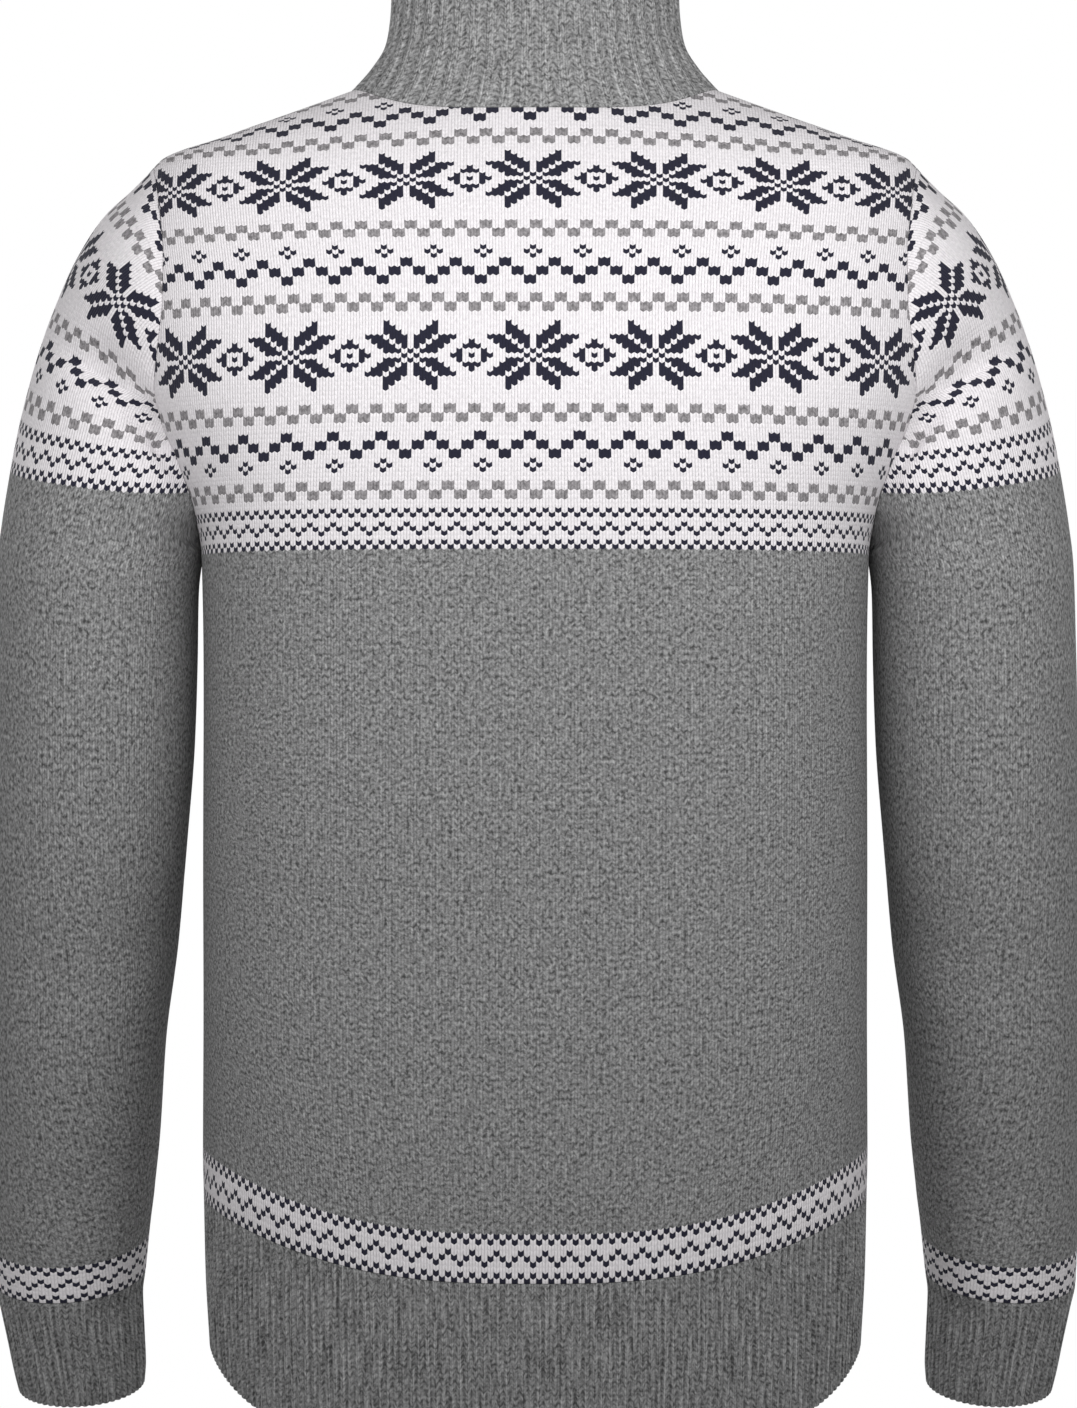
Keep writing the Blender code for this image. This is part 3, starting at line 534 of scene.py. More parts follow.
class SleeveForm:
    """The surface of the wearer's left sleeve, by distance along its outer ridge and by turn round it."""

    RIDGE_READINGS, SEAM_READINGS = 400, 120  # places where the ridge and the armhole seam are read

    def __init__(self) -> None:
        """Fits curves through the sleeve's two tables."""
        rows = ARM_ROWS + CAP_ROWS
        ridge = np.array([(row.out_x, row.out_z) for row in rows])
        run = np.concatenate(([0.0], np.cumsum(np.linalg.norm(np.diff(ridge, axis=0), axis=1))))
        arm = run[: len(ARM_ROWS)]
        self.armpit, self.cuff_top, self.top = arm[-1], arm[CUFF_TOP_ROW], run[-1]
        names = ("out_x", "out_z", "y", "deep", "drop")
        self.curves = {name: Curve(run, column(rows, name)) for name in names}
        self.inner = [Curve(arm, column(ARM_ROWS, name)) for name in ("in_x", "in_z")]
        self.level = Curve(run[len(ARM_ROWS) - 1 :], [ARMPIT] + column(CAP_ROWS, "level"))
        self.edges = {half: self.sleeve_edge(half) for half in Half}

    def station(self, level: float) -> float:
        """The distance along the ridge of the line that meets the armhole at a level."""
        places = np.linspace(self.armpit, self.top, self.RIDGE_READINGS)
        return float(np.interp(level, self.level(places), places))

    def sleeve_edge(self, half: Half) -> tuple[Array, Array]:
        """Where the sleeve's edge lies along the armhole: beside the seam by the gap.

        Args:
            half: The back or the front of the armhole.

        Returns:
            Levels, and the point at each.
        """
        levels = np.linspace(ARMPIT, SHOULDER, self.SEAM_READINGS)
        points = corner(levels, half)
        along = np.gradient(points, axis=0)
        along[0] = along[-1] = (0.0, 1.0, 0.0)  # the two sides of the seam meet here
        away = np.cross(along, lean(levels, half))
        away *= np.sign(away[:, :1]) / np.linalg.norm(away, axis=1, keepdims=True)
        return levels, SEAM_GAP * away

    def seam(self, level: Array, half: Half) -> Array:
        """The points of the sleeve's edge at levels of the armhole."""
        levels, away = self.edges[half]
        moved = np.stack([np.interp(level, levels, away[:, axis]) for axis in range(3)], axis=-1)
        return corner(level, half) + moved

    def end(self, at: Array, half: Half) -> Array:
        """Where the lines round the sleeve end: on the underarm line, or on the armhole."""
        inner = np.stack((self.inner[0](at), self.curves["y"](at), self.inner[1](at)), axis=-1)
        return np.where((at <= self.armpit)[..., None], inner, self.seam(self.level(at), half))

    def point(self, at: Array, around: Array) -> Array:
        """The points of the surface.

        Args:
            at: Distances along the ridge.
            around: Turns, from -1 in front over the ridge at 0 to 1 behind.

        Returns:
            The points, in one more dimension.
        """
        front = around < 0
        end = np.where(front[..., None], self.end(at, Half.FRONT), self.end(at, Half.BACK))
        drop = self.curves["drop"](at)
        ridge = np.stack([self.curves[name](at) for name in ("out_x", "y", "out_z")], axis=-1)
        reach = np.abs(end[..., 1] - ridge[..., 1])
        deep = np.maximum(self.curves["deep"](at), reach)
        last = math.pi - np.arcsin(np.minimum(1.0, reach / deep))
        turn = last * np.abs(around)
        share = (1 - np.cos(turn)) / (1 - np.cos(last))
        side = np.where(front, -deep, deep) * np.sin(turn)
        x = ridge[..., 0] + share * (end[..., 0] - ridge[..., 0])
        fall = end[..., 2] - ridge[..., 2] + drop * (end[..., 1] - ridge[..., 1])
        z = ridge[..., 2] + share * fall - drop * side
        return np.stack((x, ridge[..., 1] + side, z), axis=-1)

    def normal(self, at: Array, around: Array) -> Array:
        """The directions that face out of the sleeve, for the same arguments as its points."""
        along, swing = 2.0, 0.015
        open_line = at > self.armpit
        around = np.where(open_line, np.clip(around, swing - 1, 1 - swing), around)
        below, above = np.maximum(at - along, 0.0), np.minimum(at + along, self.top)
        up = self.point(above, around) - self.point(below, around)
        across = np.abs(around) + swing > 1  # over the underarm line
        high = np.where(across, swing - 1, around + swing)
        low = np.where(across, 1 - swing, around - swing)
        round_it = self.point(at, high) - self.point(at, low)
        return unit(np.cross(round_it, up))


SLEEVE = SleeveForm()


# --- how the knit lies on the forms --------------------------------------------------------------

STITCH, COURSE = 3.19, 2.417  # width of a stitch and height of a row in the plain knit
TRIM_FOOT = -158.0  # row in which the narrow bands above the ribs start; the yoke starts in row 0
TRIM_ROWS = 9.0
YOKE_Z = -252.4
LAST_LINE_X = 140.0  # the last upright line along which the yoke's rows are counted
NO_LENGTH = 1e-9  # stands in for a length of 0 where something is divided by it
ASIDE = 0.33  # how many stitches the pattern lies to the wearer's left of the middle of the back


class BodyKnit:
    """Counts the stitches and rows of one half of the body.

    Under the yoke the rows are counted by level, and in it by length up upright lines. The wales run up
    the rings at even distances, and straight up over the shoulder.
    """

    ROWS = Curve(  # lengths up an upright line of the yoke, and the rows there
        [0.0, 102.0, 150.2, 203.2, 232.0, 252.6, 300.0],
        [0.0, 42.5, 61.5, 83.5, 95.5, 103.0, 121.0],
    )
    LOWER = (  # levels under the yoke, and the rows there
        (-639.0, TRIM_FOOT),
        (-612.5, TRIM_FOOT + TRIM_ROWS),
        (YOKE_Z, 0.0),
    )
    STRETCH = (  # heights in the yoke, and how much wider than plain its stitches are there
        (-245, 1.045),
        (-219, 1.038),
        (-200, 1.028),
        (-180, 1.016),
        (-132, 1.01),
        (-108, 1.018),
        (-85, 1.04),
        (-61, 1.058),
    )
    WIDTHS = ((-612.5, 3.06), (-540.0, STITCH))  # levels, and the width of a stitch there
    CROWN = -134.0  # above this level the wales run straight up
    HEIGHT_FROM, HEIGHT_OVER = -420.0, 120.0  # the levels over which counting by height sets in
    SAG, SAG_FROM, SAG_OVER = 2.0, 65.0, 20.0  # rows by which the top of the yoke sags at its sides
    ZIP_STITCH = 10.0  # the small diamond between two stars lies on the zip
    SQUARENESS = 2.7  # about that of the rings, so that even swings lie evenly round them
    WIDEST = 1.8  # a swing past every side seam
    LINES_FROM = -262.0  # level, just under the yoke, where the upright lines start
    LEVEL_FROM, LEVEL_OVER = 0.8, 0.15  # how level a step lies when it starts to count as flat
    SHOULDER_FROM, SHOULDER_OVER = -95.0, 25.0  # the levels over which the shoulder comes to lie flat
    RING_READINGS, SWING_READINGS = 150, 140  # rings, and places round each, at which lengths are read
    LINE_READINGS, STEP_READINGS = 300, 50  # places up the last line, and steps up every line

    def __init__(self, half: Half) -> None:
        """Measures the rings and the upright lines of this half.

        Args:
            half: The back or the front of the body.
        """
        self.half = half
        self.levels = np.linspace(BODY.lowest, BODY.highest, self.RING_READINGS)
        middle = 0.0 if half is Half.BACK else math.pi
        self.swings = np.linspace(0.0, self.WIDEST, self.SWING_READINGS)
        swings = squared(self.swings, self.SQUARENESS / 2)
        turns = middle + (swings if half is Half.BACK else -swings)
        grid = BODY.point(self.levels[:, None] + 0 * turns, turns + 0 * self.levels[:, None])
        self.middle = middle
        self.arcs = lengths_along(grid, 1)
        crown = BODY.point(self.CROWN + 0 * turns, turns)
        self.crown_x, self.crown_arc = crown[:, 0], lengths_along(crown, 0)
        levels = np.linspace(self.LINES_FROM, BODY.highest, self.LINE_READINGS)
        last = BODY.point(levels, BODY.turn_at(levels, LAST_LINE_X + 0 * levels, self.half))
        self.last_line = last[:, 2], *self.up(levels, LAST_LINE_X + 0 * levels)

    def up(self, level: Array, x: Array) -> tuple[Array, Array]:
        """Lengths up upright lines, from the foot of the yoke.

        Args:
            level: Levels to which the lengths reach.
            x: Distances of the lines from the middle.

        Returns:
            The lengths, below 0 under the foot, and how much of each lies flat over the shoulder.
        """
        closing = 1 - (1 - np.linspace(0.0, 1.0, self.STEP_READINGS)) ** 2
        levels = self.LINES_FROM + (level[..., None] - self.LINES_FROM) * closing
        points = BODY.point(levels, BODY.turn_at(levels, x[..., None] + 0 * levels, self.half))
        moves = np.diff(points[..., 1:], axis=-2)
        steps = np.linalg.norm(moves, axis=-1)
        level_share = np.abs(moves[..., 0]) / np.maximum(steps, NO_LENGTH)
        flat = np.clip((level_share - self.LEVEL_FROM) / self.LEVEL_OVER, 0, 1) * steps
        flat *= ease((levels[..., 1:] - self.SHOULDER_FROM) / self.SHOULDER_OVER)
        return steps.sum(axis=-1) + points[..., 0, 2] - YOKE_Z, flat.sum(axis=-1)

    @staticmethod
    def table(values: Array, first: Array, second: Array, at_first: Array, at_second: Array) -> Array:
        """Reads a two-way table between its points.

        Args:
            values: The table.
            first: Even places of its rows.
            second: Even places of its columns.
            at_first: Places wanted among the rows.
            at_second: Places wanted among the columns.

        Returns:
            The values there.
        """
        i, j = (
            np.clip((at - even[0]) / (even[1] - even[0]), 0, len(even) - 1.001)
            for at, even in ((at_first, first), (at_second, second))
        )
        row, place = i.astype(int), j.astype(int)
        low = blend(values[row, place], values[row + 1, place], i - row)
        high = blend(values[row, place + 1], values[row + 1, place + 1], i - row)
        return blend(low, high, j - place)

    def count(self, level: Array, turn: Array, points: Array) -> Array:
        """Stitches from the middle and rows from the foot of the yoke.

        Args:
            level: Levels of the points.
            turn: Their turns.
            points: The points themselves.

        Returns:
            Two numbers for each point.
        """
        swing = squared(np.abs(np.abs(turn) - self.middle), 2 / self.SQUARENESS)
        own = self.table(self.arcs, self.levels, self.swings, level, swing)
        crown = np.interp(np.abs(points[..., 0]), self.crown_x, self.crown_arc)
        arc = np.where(level > self.CROWN, crown, own)
        x = np.minimum(np.abs(points[..., 0]), LAST_LINE_X)
        z = points[..., 2]
        stitches = arc / np.interp(level, *zip(*self.WIDTHS))
        stitches /= np.interp(z, *zip(*self.STRETCH))
        if self.half is Half.FRONT:
            stitches = stitches + self.ZIP_STITCH
        up, flat = self.up(np.maximum(level, self.LINES_FROM), np.abs(points[..., 0]))
        last_z, last_up, last_flat = self.last_line
        outside = np.interp(z, last_z, last_up) + flat - np.interp(z, last_z, last_flat)
        yoke = self.ROWS(np.where(x < LAST_LINE_X, up, outside))
        yoke += self.SAG * ease((yoke - self.SAG_FROM) / self.SAG_OVER) * (x / LAST_LINE_X) ** 2
        by_height = np.where(z < YOKE_Z, (z - YOKE_Z) / COURSE, yoke)
        by_level = np.interp(level, *zip(*self.LOWER))
        rows = blend(by_level, by_height, ease((level - self.HEIGHT_FROM) / self.HEIGHT_OVER))
        aside = ASIDE if self.half is Half.BACK else 0.0
        return np.stack((aside - np.copysign(stitches, points[..., 0]), rows), axis=-1)


class SleeveKnit:
    """Counts the stitches and rows of the sleeve."""

    ROWS = Curve(  # distances along the ridge from the armpit, and the rows there
        [-428.2, -407.5, 24.0, 101.0, 127.0, 171.0, 190.0, 203.0, 216.4, 240.0],
        [TRIM_FOOT, TRIM_FOOT + TRIM_ROWS, 0.0, 25.0, 35.0, 49.5, 55.0, 59.0, 63.0, 70.0],
    )
    RIDGE = (  # rows, and how far they rise there over the ridge
        (-158, 0),
        (-60, 2),
        (0, 5),
        (9, 9),
        (14, 7),
        (21, 3),
        (42, 4),
        (55, 8),
    )
    SEAM = (  # rows, and how far they rise there at the seam
        (-158, 0),
        (-60, 3),
        (0, 7),
        (9, 11),
        (14, 8),
        (21, 4),
        (26, -3),
        (30, -12),
        (36, -9),
        (43, -5),
        (55, -9),
    )
    OFFSETS = (  # rows, and how far behind the ridge the middle of the pattern lies there
        (15, 4.5),
        (23, 2.5),
        (30, 5.0),
        (36, 10.4),
        (42.5, 19.3),
        (49, 28.2),
        (54, 32.0),
        (63, 38.5),
    )
    WIDTHS = ((-149, 4.0), (-110, 3.3), (-60, STITCH))  # rows, and the width of a stitch there
    REACH = 0.45  # how far round from the ridge, and from the seam, the rows rise
    ROUNDS = 4  # how often the count of rows is corrected for their rise

    def count(self, at: Array, around: Array, points: Array) -> Array:
        """Stitches from the middle of the ridge's star and rows from the foot of the yoke.

        The rows lie highest over the ridge and at the seam.

        Args:
            at: Distances along the ridge.
            around: Turns round the sleeve.
            points: The points themselves.

        Returns:
            Two numbers for each point.
        """
        away = np.abs(around)
        ridge, seam = (np.clip(1 - turn / self.REACH, 0, 1) ** 2 for turn in (away, 1 - away))
        rows = self.ROWS(at - SLEEVE.armpit)
        for _ in range(self.ROUNDS):
            rise = np.interp(rows, *zip(*self.RIDGE)) * ridge + np.interp(rows, *zip(*self.SEAM)) * seam
            rows = self.ROWS(at - SLEEVE.armpit - rise)
        arc = lengths_along(points, 1)
        middle = (points.shape[1] - 1) // 2
        arc = arc - arc[:, middle : middle + 1] - np.interp(rows, *zip(*self.OFFSETS))
        return np.stack((arc / np.interp(rows, *zip(*self.WIDTHS)), rows), axis=-1)


# --- cloth ---------------------------------------------------------------------------------------


@dataclass
class Cloth:
    """A grid of cloth: its outer and inner points and its count of stitches and rows."""

    outer: Array
    inner: Array
    knit: Array
    tube: bool = False
    rim: float = 1.0  # how far the cloth's edges are rounded

    def mirrored(self) -> "Cloth":
        """The same cloth on the wearer's other side."""
        flip = np.array((-1.0, 1.0, 1.0))
        turned = [part[:, ::-1] for part in (self.outer * flip, self.inner * flip, self.knit)]
        return Cloth(*turned, tube=self.tube, rim=self.rim)

    def sheet(self) -> bmesh.types.BMesh:
        """The outer face, as a grid laid on the points."""
        rows, columns = self.outer.shape[:2]
        bm = bmesh.new()
        bmesh.ops.create_grid(bm, x_segments=columns - 1, y_segments=rows - 1, size=1.0)
        flat = bpy.data.meshes.new("grid")
        bm.to_mesh(flat)
        flat.vertices.foreach_set("co", (self.outer * MM).astype(np.float32).ravel())
        corners = np.empty(len(flat.loops), np.int32)
        flat.loops.foreach_get("vertex_index", corners)
        counted = self.knit.reshape(-1, 2)[corners]
        flat.uv_layers.new(name=KNIT).data.foreach_set("uv", counted.astype(np.float32).ravel())
        place = flat.attributes.new("place", "INT", "POINT")
        place.data.foreach_set("value", np.arange(rows * columns, dtype=np.int32))
        bm.clear()
        bm.from_mesh(flat)
        bpy.data.meshes.remove(flat)
        return bm

    def build(self, name: str, finishes: list[Material], body: str = "garment") -> bpy.types.Object:
        """Makes the walled piece.

        Args:
            name: Name of the piece.
            finishes: Materials of its outside and its inside.
            body: The body that it rides on.

        Returns:
            The new object.
        """
        bm = self.sheet()
        if self.tube:
            bmesh.ops.remove_doubles(bm, verts=bm.verts, dist=SAME_PLACE)
        place, knit = bm.verts.layers.int["place"], bm.loops.layers.uv[KNIT]
        edges = [edge for edge in bm.edges if edge.is_boundary]
        inner = self.inner.reshape(-1, 3) * MM
        whole = list(bm.faces) + list(bm.edges) + list(bm.verts)
        copied = bmesh.ops.duplicate(bm, geom=whole)["geom"]
        twins = {vert[place]: vert for vert in copied if isinstance(vert, bmesh.types.BMVert)}
        lining = [face for face in copied if isinstance(face, bmesh.types.BMFace)]
        for edge in edges:
            one, other = edge.verts
            counted = {loop.vert[place]: loop[knit].uv.copy() for loop in edge.link_faces[0].loops}
            rim = bm.faces.new((one, other, twins[other[place]], twins[one[place]]))
            for loop in rim.loops:
                loop[knit].uv = counted[loop.vert[place]]
        for index, vert in twins.items():
            vert.co = inner[index]
        for face in lining:
            face.material_index = 1
        bmesh.ops.recalc_face_normals(bm, faces=bm.faces)
        piece = finished(name, bm, finishes, body)
        rounding = piece.modifiers.new("rounded rims", "BEVEL")
        rounding.limit_method = "ANGLE"
        rounding.angle_limit = RIM_ANGLE
        rounding.width = self.rim * MM
        rounding.segments = 2
        return piece


def finished(name: str, bm: bmesh.types.BMesh, finishes: list[Material], body: str) -> bpy.types.Object:
    """Makes a bmesh into a smooth object that rides on a body.

    Args:
        name: Name of the piece.
        bm: Its mesh, which this frees.
        finishes: Its materials.
        body: The body that it rides on.

    Returns:
        The new object.
    """
    name += FINE
    mesh = bpy.data.meshes.new(name)
    bm.to_mesh(mesh)
    bm.free()
    for finish in finishes:
        mesh.materials.append(finish)
    mesh.shade_smooth()
    piece = bpy.data.objects.new(name, mesh)
    bpy.context.scene.collection.objects.link(piece)
    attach(piece, body)
    return piece


def walls(points: Array, normals: Array, lift: Array | float = 0.0) -> tuple[Array, Array]:
    """Outer and inner points of a wall.

    Args:
        points: Points of the form.
        normals: Directions out of it.
        lift: How far the cloth is pushed out.

    Returns:
        The outer and the inner points.
    """
    lift = np.asarray(lift)[..., None] if np.ndim(lift) else lift
    outer = points + lift * normals
    return outer, outer - WALL * normals


# --- the panels ----------------------------------------------------------------------------------

LEAN_FADE = 16.0  # how far above the shoulder point the walls stop leaning
LEAN_CELLS = 3.0  # over how many cells beside the armhole they lean
BAND_CELLS = 24  # rows of mesh up the hem's band and the cuffs


@dataclass
class Panel:
    """A body panel, or a ribbed band under one, between two edges of a form."""

    form: RingForm
    half: Half
    rows: list[PanelRow]
    cells: int
    folds: tuple[Fold, ...] = BODY_FOLDS
    levels: Array = field(init=False)
    turns: Array = field(init=False)
    points: Array = field(init=False)
    normals: Array = field(init=False)

    def __post_init__(self) -> None:
        """Lays the grid on the form, and the folds on the grid."""
        cells = [row.cells for row in self.rows]
        middle = stretches([row.middle for row in self.rows], cells)
        side = stretches([row.side for row in self.rows], cells)
        middle[0] += SEAM_GAP * (self.form is BODY and self.rows[0].middle > HEM)
        share = np.linspace(0, 1, self.cells + 1)
        away = np.abs(2 * share - 1) if self.whole else 1 - share
        self.levels = middle[:, None] + (side - middle)[:, None] * away**BEND
        first, last = self.ends(self.levels)
        self.turns = self.form.even_turns(self.levels, first, last, share + 0 * self.levels)
        self.points = self.form.point(self.levels, self.turns)
        self.normals = self.form.normal(self.levels, self.turns)
        if self.form is BODY:
            self.lean_edges(side)
        self.trim()
        self.points += fold_height(self.folds, self.points, self.normals)[..., None] * self.normals

    @property
    def whole(self) -> bool:
        """Whether the panel runs across the middle, as the back does."""
        return self.form is COLLAR or self.half is Half.BACK

    def ends(self, level: Array) -> tuple[Array, Array]:
        """The turns of the panel's two edges at any levels."""
        zip_edge = self.form.turn_at(level, ZIP_OPENING + 0 * level, Half.FRONT)
        if self.form is COLLAR:
            return -zip_edge, zip_edge
        edge = edge_turn(level, self.half)
        return (-edge, edge) if self.whole else (edge, zip_edge)

    def lean_edges(self, side: Array) -> None:
        """Turns the directions at the armhole to those in which its two walls meet."""
        above = ease(1 - (side - SHOULDER) / LEAN_FADE)
        leaning = lean(np.clip(side, ARMPIT, SHOULDER), self.half)[:, None]
        share = (lean_share(side) * above)[:, None, None]
        near = ease(1 - np.arange(self.cells + 1) / LEAN_CELLS)[None, :, None]
        if self.whole:
            self.normals = blend(self.normals, leaning, share * near[:, ::-1])
            leaning = leaning * (-1, 1, 1)
        self.normals = unit(blend(self.normals, leaning, share * near))

    def trim(self) -> None:
        """Takes half the gap of a seam off both edges."""
        if self.form is COLLAR:
            return
        for edge, next_one in ((0, 1), (-1, -2)):
            self.points[:, edge] += SEAM_GAP / 2 * unit(self.points[:, next_one] - self.points[:, edge])

    def cloth(self) -> Cloth:
        """The panel in plain knit."""
        knit = BodyKnit(self.half).count(self.levels, self.turns, self.points)
        return Cloth(*walls(self.points, self.normals), knit)


class LineRow(NamedTuple):
    """A line round the sleeve: its places on the ridge and at the seam, the level there, and its cells."""

    ridge: float
    seam: float
    level: float
    cells: int


TOP_TURNS = (0.0, 0.3, 0.5, 0.7, 1.0)  # where the five highest rows of each body panel meet the sleeve
TOP_REACH = 24.0  # how far below its top line the cloth is drawn over to the seam
EDGE_CELLS = 5.0  # over how many cells beside the seam it follows the edge
ARM_LINES, ARM_END = 8, 85.0  # the level lines round the arm, and how far below the armpit they end
FANNED_RIDGE, FANNED_SEAM = 60.0, 34.0  # how far below it the next line lies, on the ridge and at the seam
BELOW_ARMPIT = ARMPIT - 1.0  # the level given to lines that don't reach the armhole


@dataclass
class SleevePanel:
    """The wearer's left sleeve from its cuff up to the armhole, or the cuff itself."""

    cells: int = 96
    cuff: bool = False
    at: Array = field(init=False)
    around: Array = field(init=False)
    points: Array = field(init=False)
    normals: Array = field(init=False)

    def __post_init__(self) -> None:
        """Lays the grid on the form, and its edge along the armhole."""
        rows = self.cuff_rows() if self.cuff else self.arm_rows()
        cells = column(rows, "cells")
        ridge, end, level = (stretches(column(rows, name), cells) for name in ("ridge", "seam", "level"))
        around = np.linspace(-1, 1, self.cells + 1)
        self.at = ridge[:, None] + (end - ridge)[:, None] * np.abs(around) ** BEND
        self.around = around + 0 * self.at
        self.points, self.normals = SLEEVE.point(self.at, self.around), SLEEVE.normal(self.at, self.around)
        self.points += fold_height(SLEEVE_FOLDS, self.points, self.normals)[..., None] * self.normals
        if not self.cuff:
            self.join_seam(level)
            self.join_top(ridge)

    @staticmethod
    def cuff_rows() -> list[LineRow]:
        """The two ends of the cuff."""
        end, top = 0.0, SLEEVE.cuff_top
        return [LineRow(end, end, BELOW_ARMPIT, BAND_CELLS), LineRow(top, top, BELOW_ARMPIT, 0)]

    @staticmethod
    def arm_rows() -> list[LineRow]:
        """Lines round the arm, then lines fanned over the sleeve head."""
        low, high = SLEEVE.cuff_top + SEAM_GAP, SLEEVE.armpit - ARM_END
        rows = [LineRow(float(at), float(at), BELOW_ARMPIT, 14) for at in np.linspace(low, high, ARM_LINES)]
        rows.append(LineRow(SLEEVE.armpit - FANNED_RIDGE, SLEEVE.armpit - FANNED_SEAM, BELOW_ARMPIT, 6))
        for level in ARMHOLE_LEVELS[: ARMHOLE_LEVELS.index(HEAD_TOP) + 1]:
            station = SLEEVE.station(level)
            lag = FAN * max(0.0, 1.0 - (station - SLEEVE.armpit) / FAN_END)
            rows.append(LineRow(station - lag, station, level, 5))
        return rows

    def join_seam(self, level: Array) -> None:
        """Lays both edges exactly beside the armhole seam, and lets the cloth next to them follow."""
        joined = level >= ARMPIT
        level = level[joined]
        around = self.around[0]
        for edge, half in ((0, Half.FRONT), (-1, Half.BACK)):
            beside = 1 - (1 - np.abs(around)) * self.cells / EDGE_CELLS
            near = ease(beside * (np.sign(around) == half.value))[None, :, None]
            shift = SLEEVE.seam(level, half) - self.points[joined, edge]
            self.points[joined] += near * shift[:, None]
            share = lean_share(level)[:, None, None] * near
            self.normals[joined] = blend(self.normals[joined], lean(level, half)[:, None], share)

    def join_top(self, ridge: Array) -> None:
        """Brings the highest lines over to the armhole seam round the shoulder point."""
        around = self.around[0]
        level = np.interp(np.abs(around), TOP_TURNS, ARMHOLE_LEVELS[-1 : -len(TOP_TURNS) - 1 : -1])
        front = (around < 0)[:, None]
        top = np.where(front, SLEEVE.seam(level, Half.FRONT), SLEEVE.seam(level, Half.BACK))
        leaning = np.where(front, lean(level, Half.FRONT), lean(level, Half.BACK))
        near = ease(1 - (ridge[-1] - ridge) / TOP_REACH)[:, None, None]
        self.points += near * (top - self.points[-1])
        self.normals = unit(blend(self.normals, leaning, near))

    def cloth(self) -> Cloth:
        """The sleeve in plain knit."""
        knit = SleeveKnit().count(self.at, self.around, self.points)
        return Cloth(*walls(self.points, self.normals), knit, tube=True)


# --- ribs ----------------------------------------------------------------------------------------


class RibKind(Enum):
    """How many stitches stand up side by side in a rib."""

    SINGLE = 1
    DOUBLE = 2


@dataclass(frozen=True)
class Rib:
    """A ribbed knit: its kind, the width of a rib with its furrow, its depth and the height of a row."""

    kind: RibKind
    pitch: float
    depth: float
    course: float = 2.4
    cells: int = 8  # mesh cells across a rib

    STEEPNESS, FULLNESS = 1.5, 0.45  # of the ribs' wave
    FADE = 5.0  # over which the ribs flatten towards the plain panel
    RIM = 0.8

    def count(self, length: float) -> int:
        """How many whole ribs fit a length."""
        return round(length / self.pitch)

    def lift(self, ribs: Array) -> Array:
        """How far the cloth stands out, for places counted in ribs; a rib's middle is at a whole number."""
        wave = np.clip(self.STEEPNESS * np.cos(2 * np.pi * ribs) + self.FULLNESS, -1.0, 1.0)
        return self.depth * (wave - 1) / 2

    def cloth(self, points: Array, normals: Array, ribs: Array, tube: bool, mate: int) -> Cloth:
        """Cloth knitted in this rib.

        Args:
            points: Points of the form.
            normals: Directions out of it.
            ribs: The number of ribs left behind at each column.
            tube: Whether the first column meets the last one.
            mate: The row, 0 or -1, along which the cloth joins a plain panel.

        Returns:
            The cloth.
        """
        away = lengths_along(points, 0)
        away = np.abs(away - away[mate])
        lift = self.lift(ribs)[None, :] * ease(away / self.FADE)
        rows = lengths_along(points, 0) / self.course
        knit = np.stack((ribs[None, :] + 0 * rows, rows), axis=-1)
        return Cloth(*walls(points, normals, lift), knit, tube=tube, rim=self.RIM)


HEM_RIB = Rib(RibKind.SINGLE, 4.2, 1.0)
CUFF_RIB = Rib(RibKind.SINGLE, 4.2, 1.0)
COLLAR_RIB = Rib(RibKind.DOUBLE, 8.9, 1.2, cells=12)


@dataclass
class Band:
    """A ribbed band between two edges of a form."""

    rib: Rib
    form: RingForm
    half: Half
    levels: list[float]
    cells: int  # rows of mesh from one level to the next
    mate: int  # the row, 0 or -1, along which it joins a plain panel
    folds: tuple[Fold, ...] = BODY_FOLDS

    MEASURED = 8  # mesh cells of the panel on which the band is measured

    def panel(self, cells: int) -> Panel:
        """The band's form, with a number of mesh cells across it."""
        rows = [PanelRow(level, level, self.cells) for level in self.levels]
        return Panel(self.form, self.half, rows, cells, self.folds)

    def cloth(self) -> Cloth:
        """The band with a whole number of ribs."""
        count = self.rib.count(float(lengths_along(self.panel(self.MEASURED).points, 1)[-1, -1]))
        fine = self.panel(count * self.rib.cells)
        ribs = np.arange(count * self.rib.cells + 1) / self.rib.cells
        return self.rib.cloth(fine.points, fine.normals, ribs, tube=False, mate=self.mate)


# --- the zip -------------------------------------------------------------------------------------

TAPE_WIDTH, TAPE_WALL = 14.0, 1.0
TEETH_HALF, TEETH_DEEP = 3.0, 2.4
TAPE_SINK = WALL + SEAM_GAP  # depth of the tape's outer face below the outside of the cloth
TAPE_SPARE = 0.5  # how far each end of a tape stays short of the cloth's edge
TAPE_COLUMNS, TAPE_STEP = 6, 3.0  # columns of points across a tape, and the height between its rows
BOX_TOP = 11.0  # where the chain starts above the bottom end
TOP_SPARE, STOP_HEIGHT, SLIDER_LENGTH = 4.0, 3.0, 12.0
TOOTH_PITCH = 2.7
TOOTH_LENGTH, TOOTH_HEIGHT, TOOTH_MIDDLE = 3.5, 1.15, 1.25
TOOTH_TAPER, TOOTH_ROUNDING = 0.72, 0.28  # share of its depth left at a tooth's head, and its rounding
LINE_STEP = 2.0  # about how far apart the points of the zip's line are


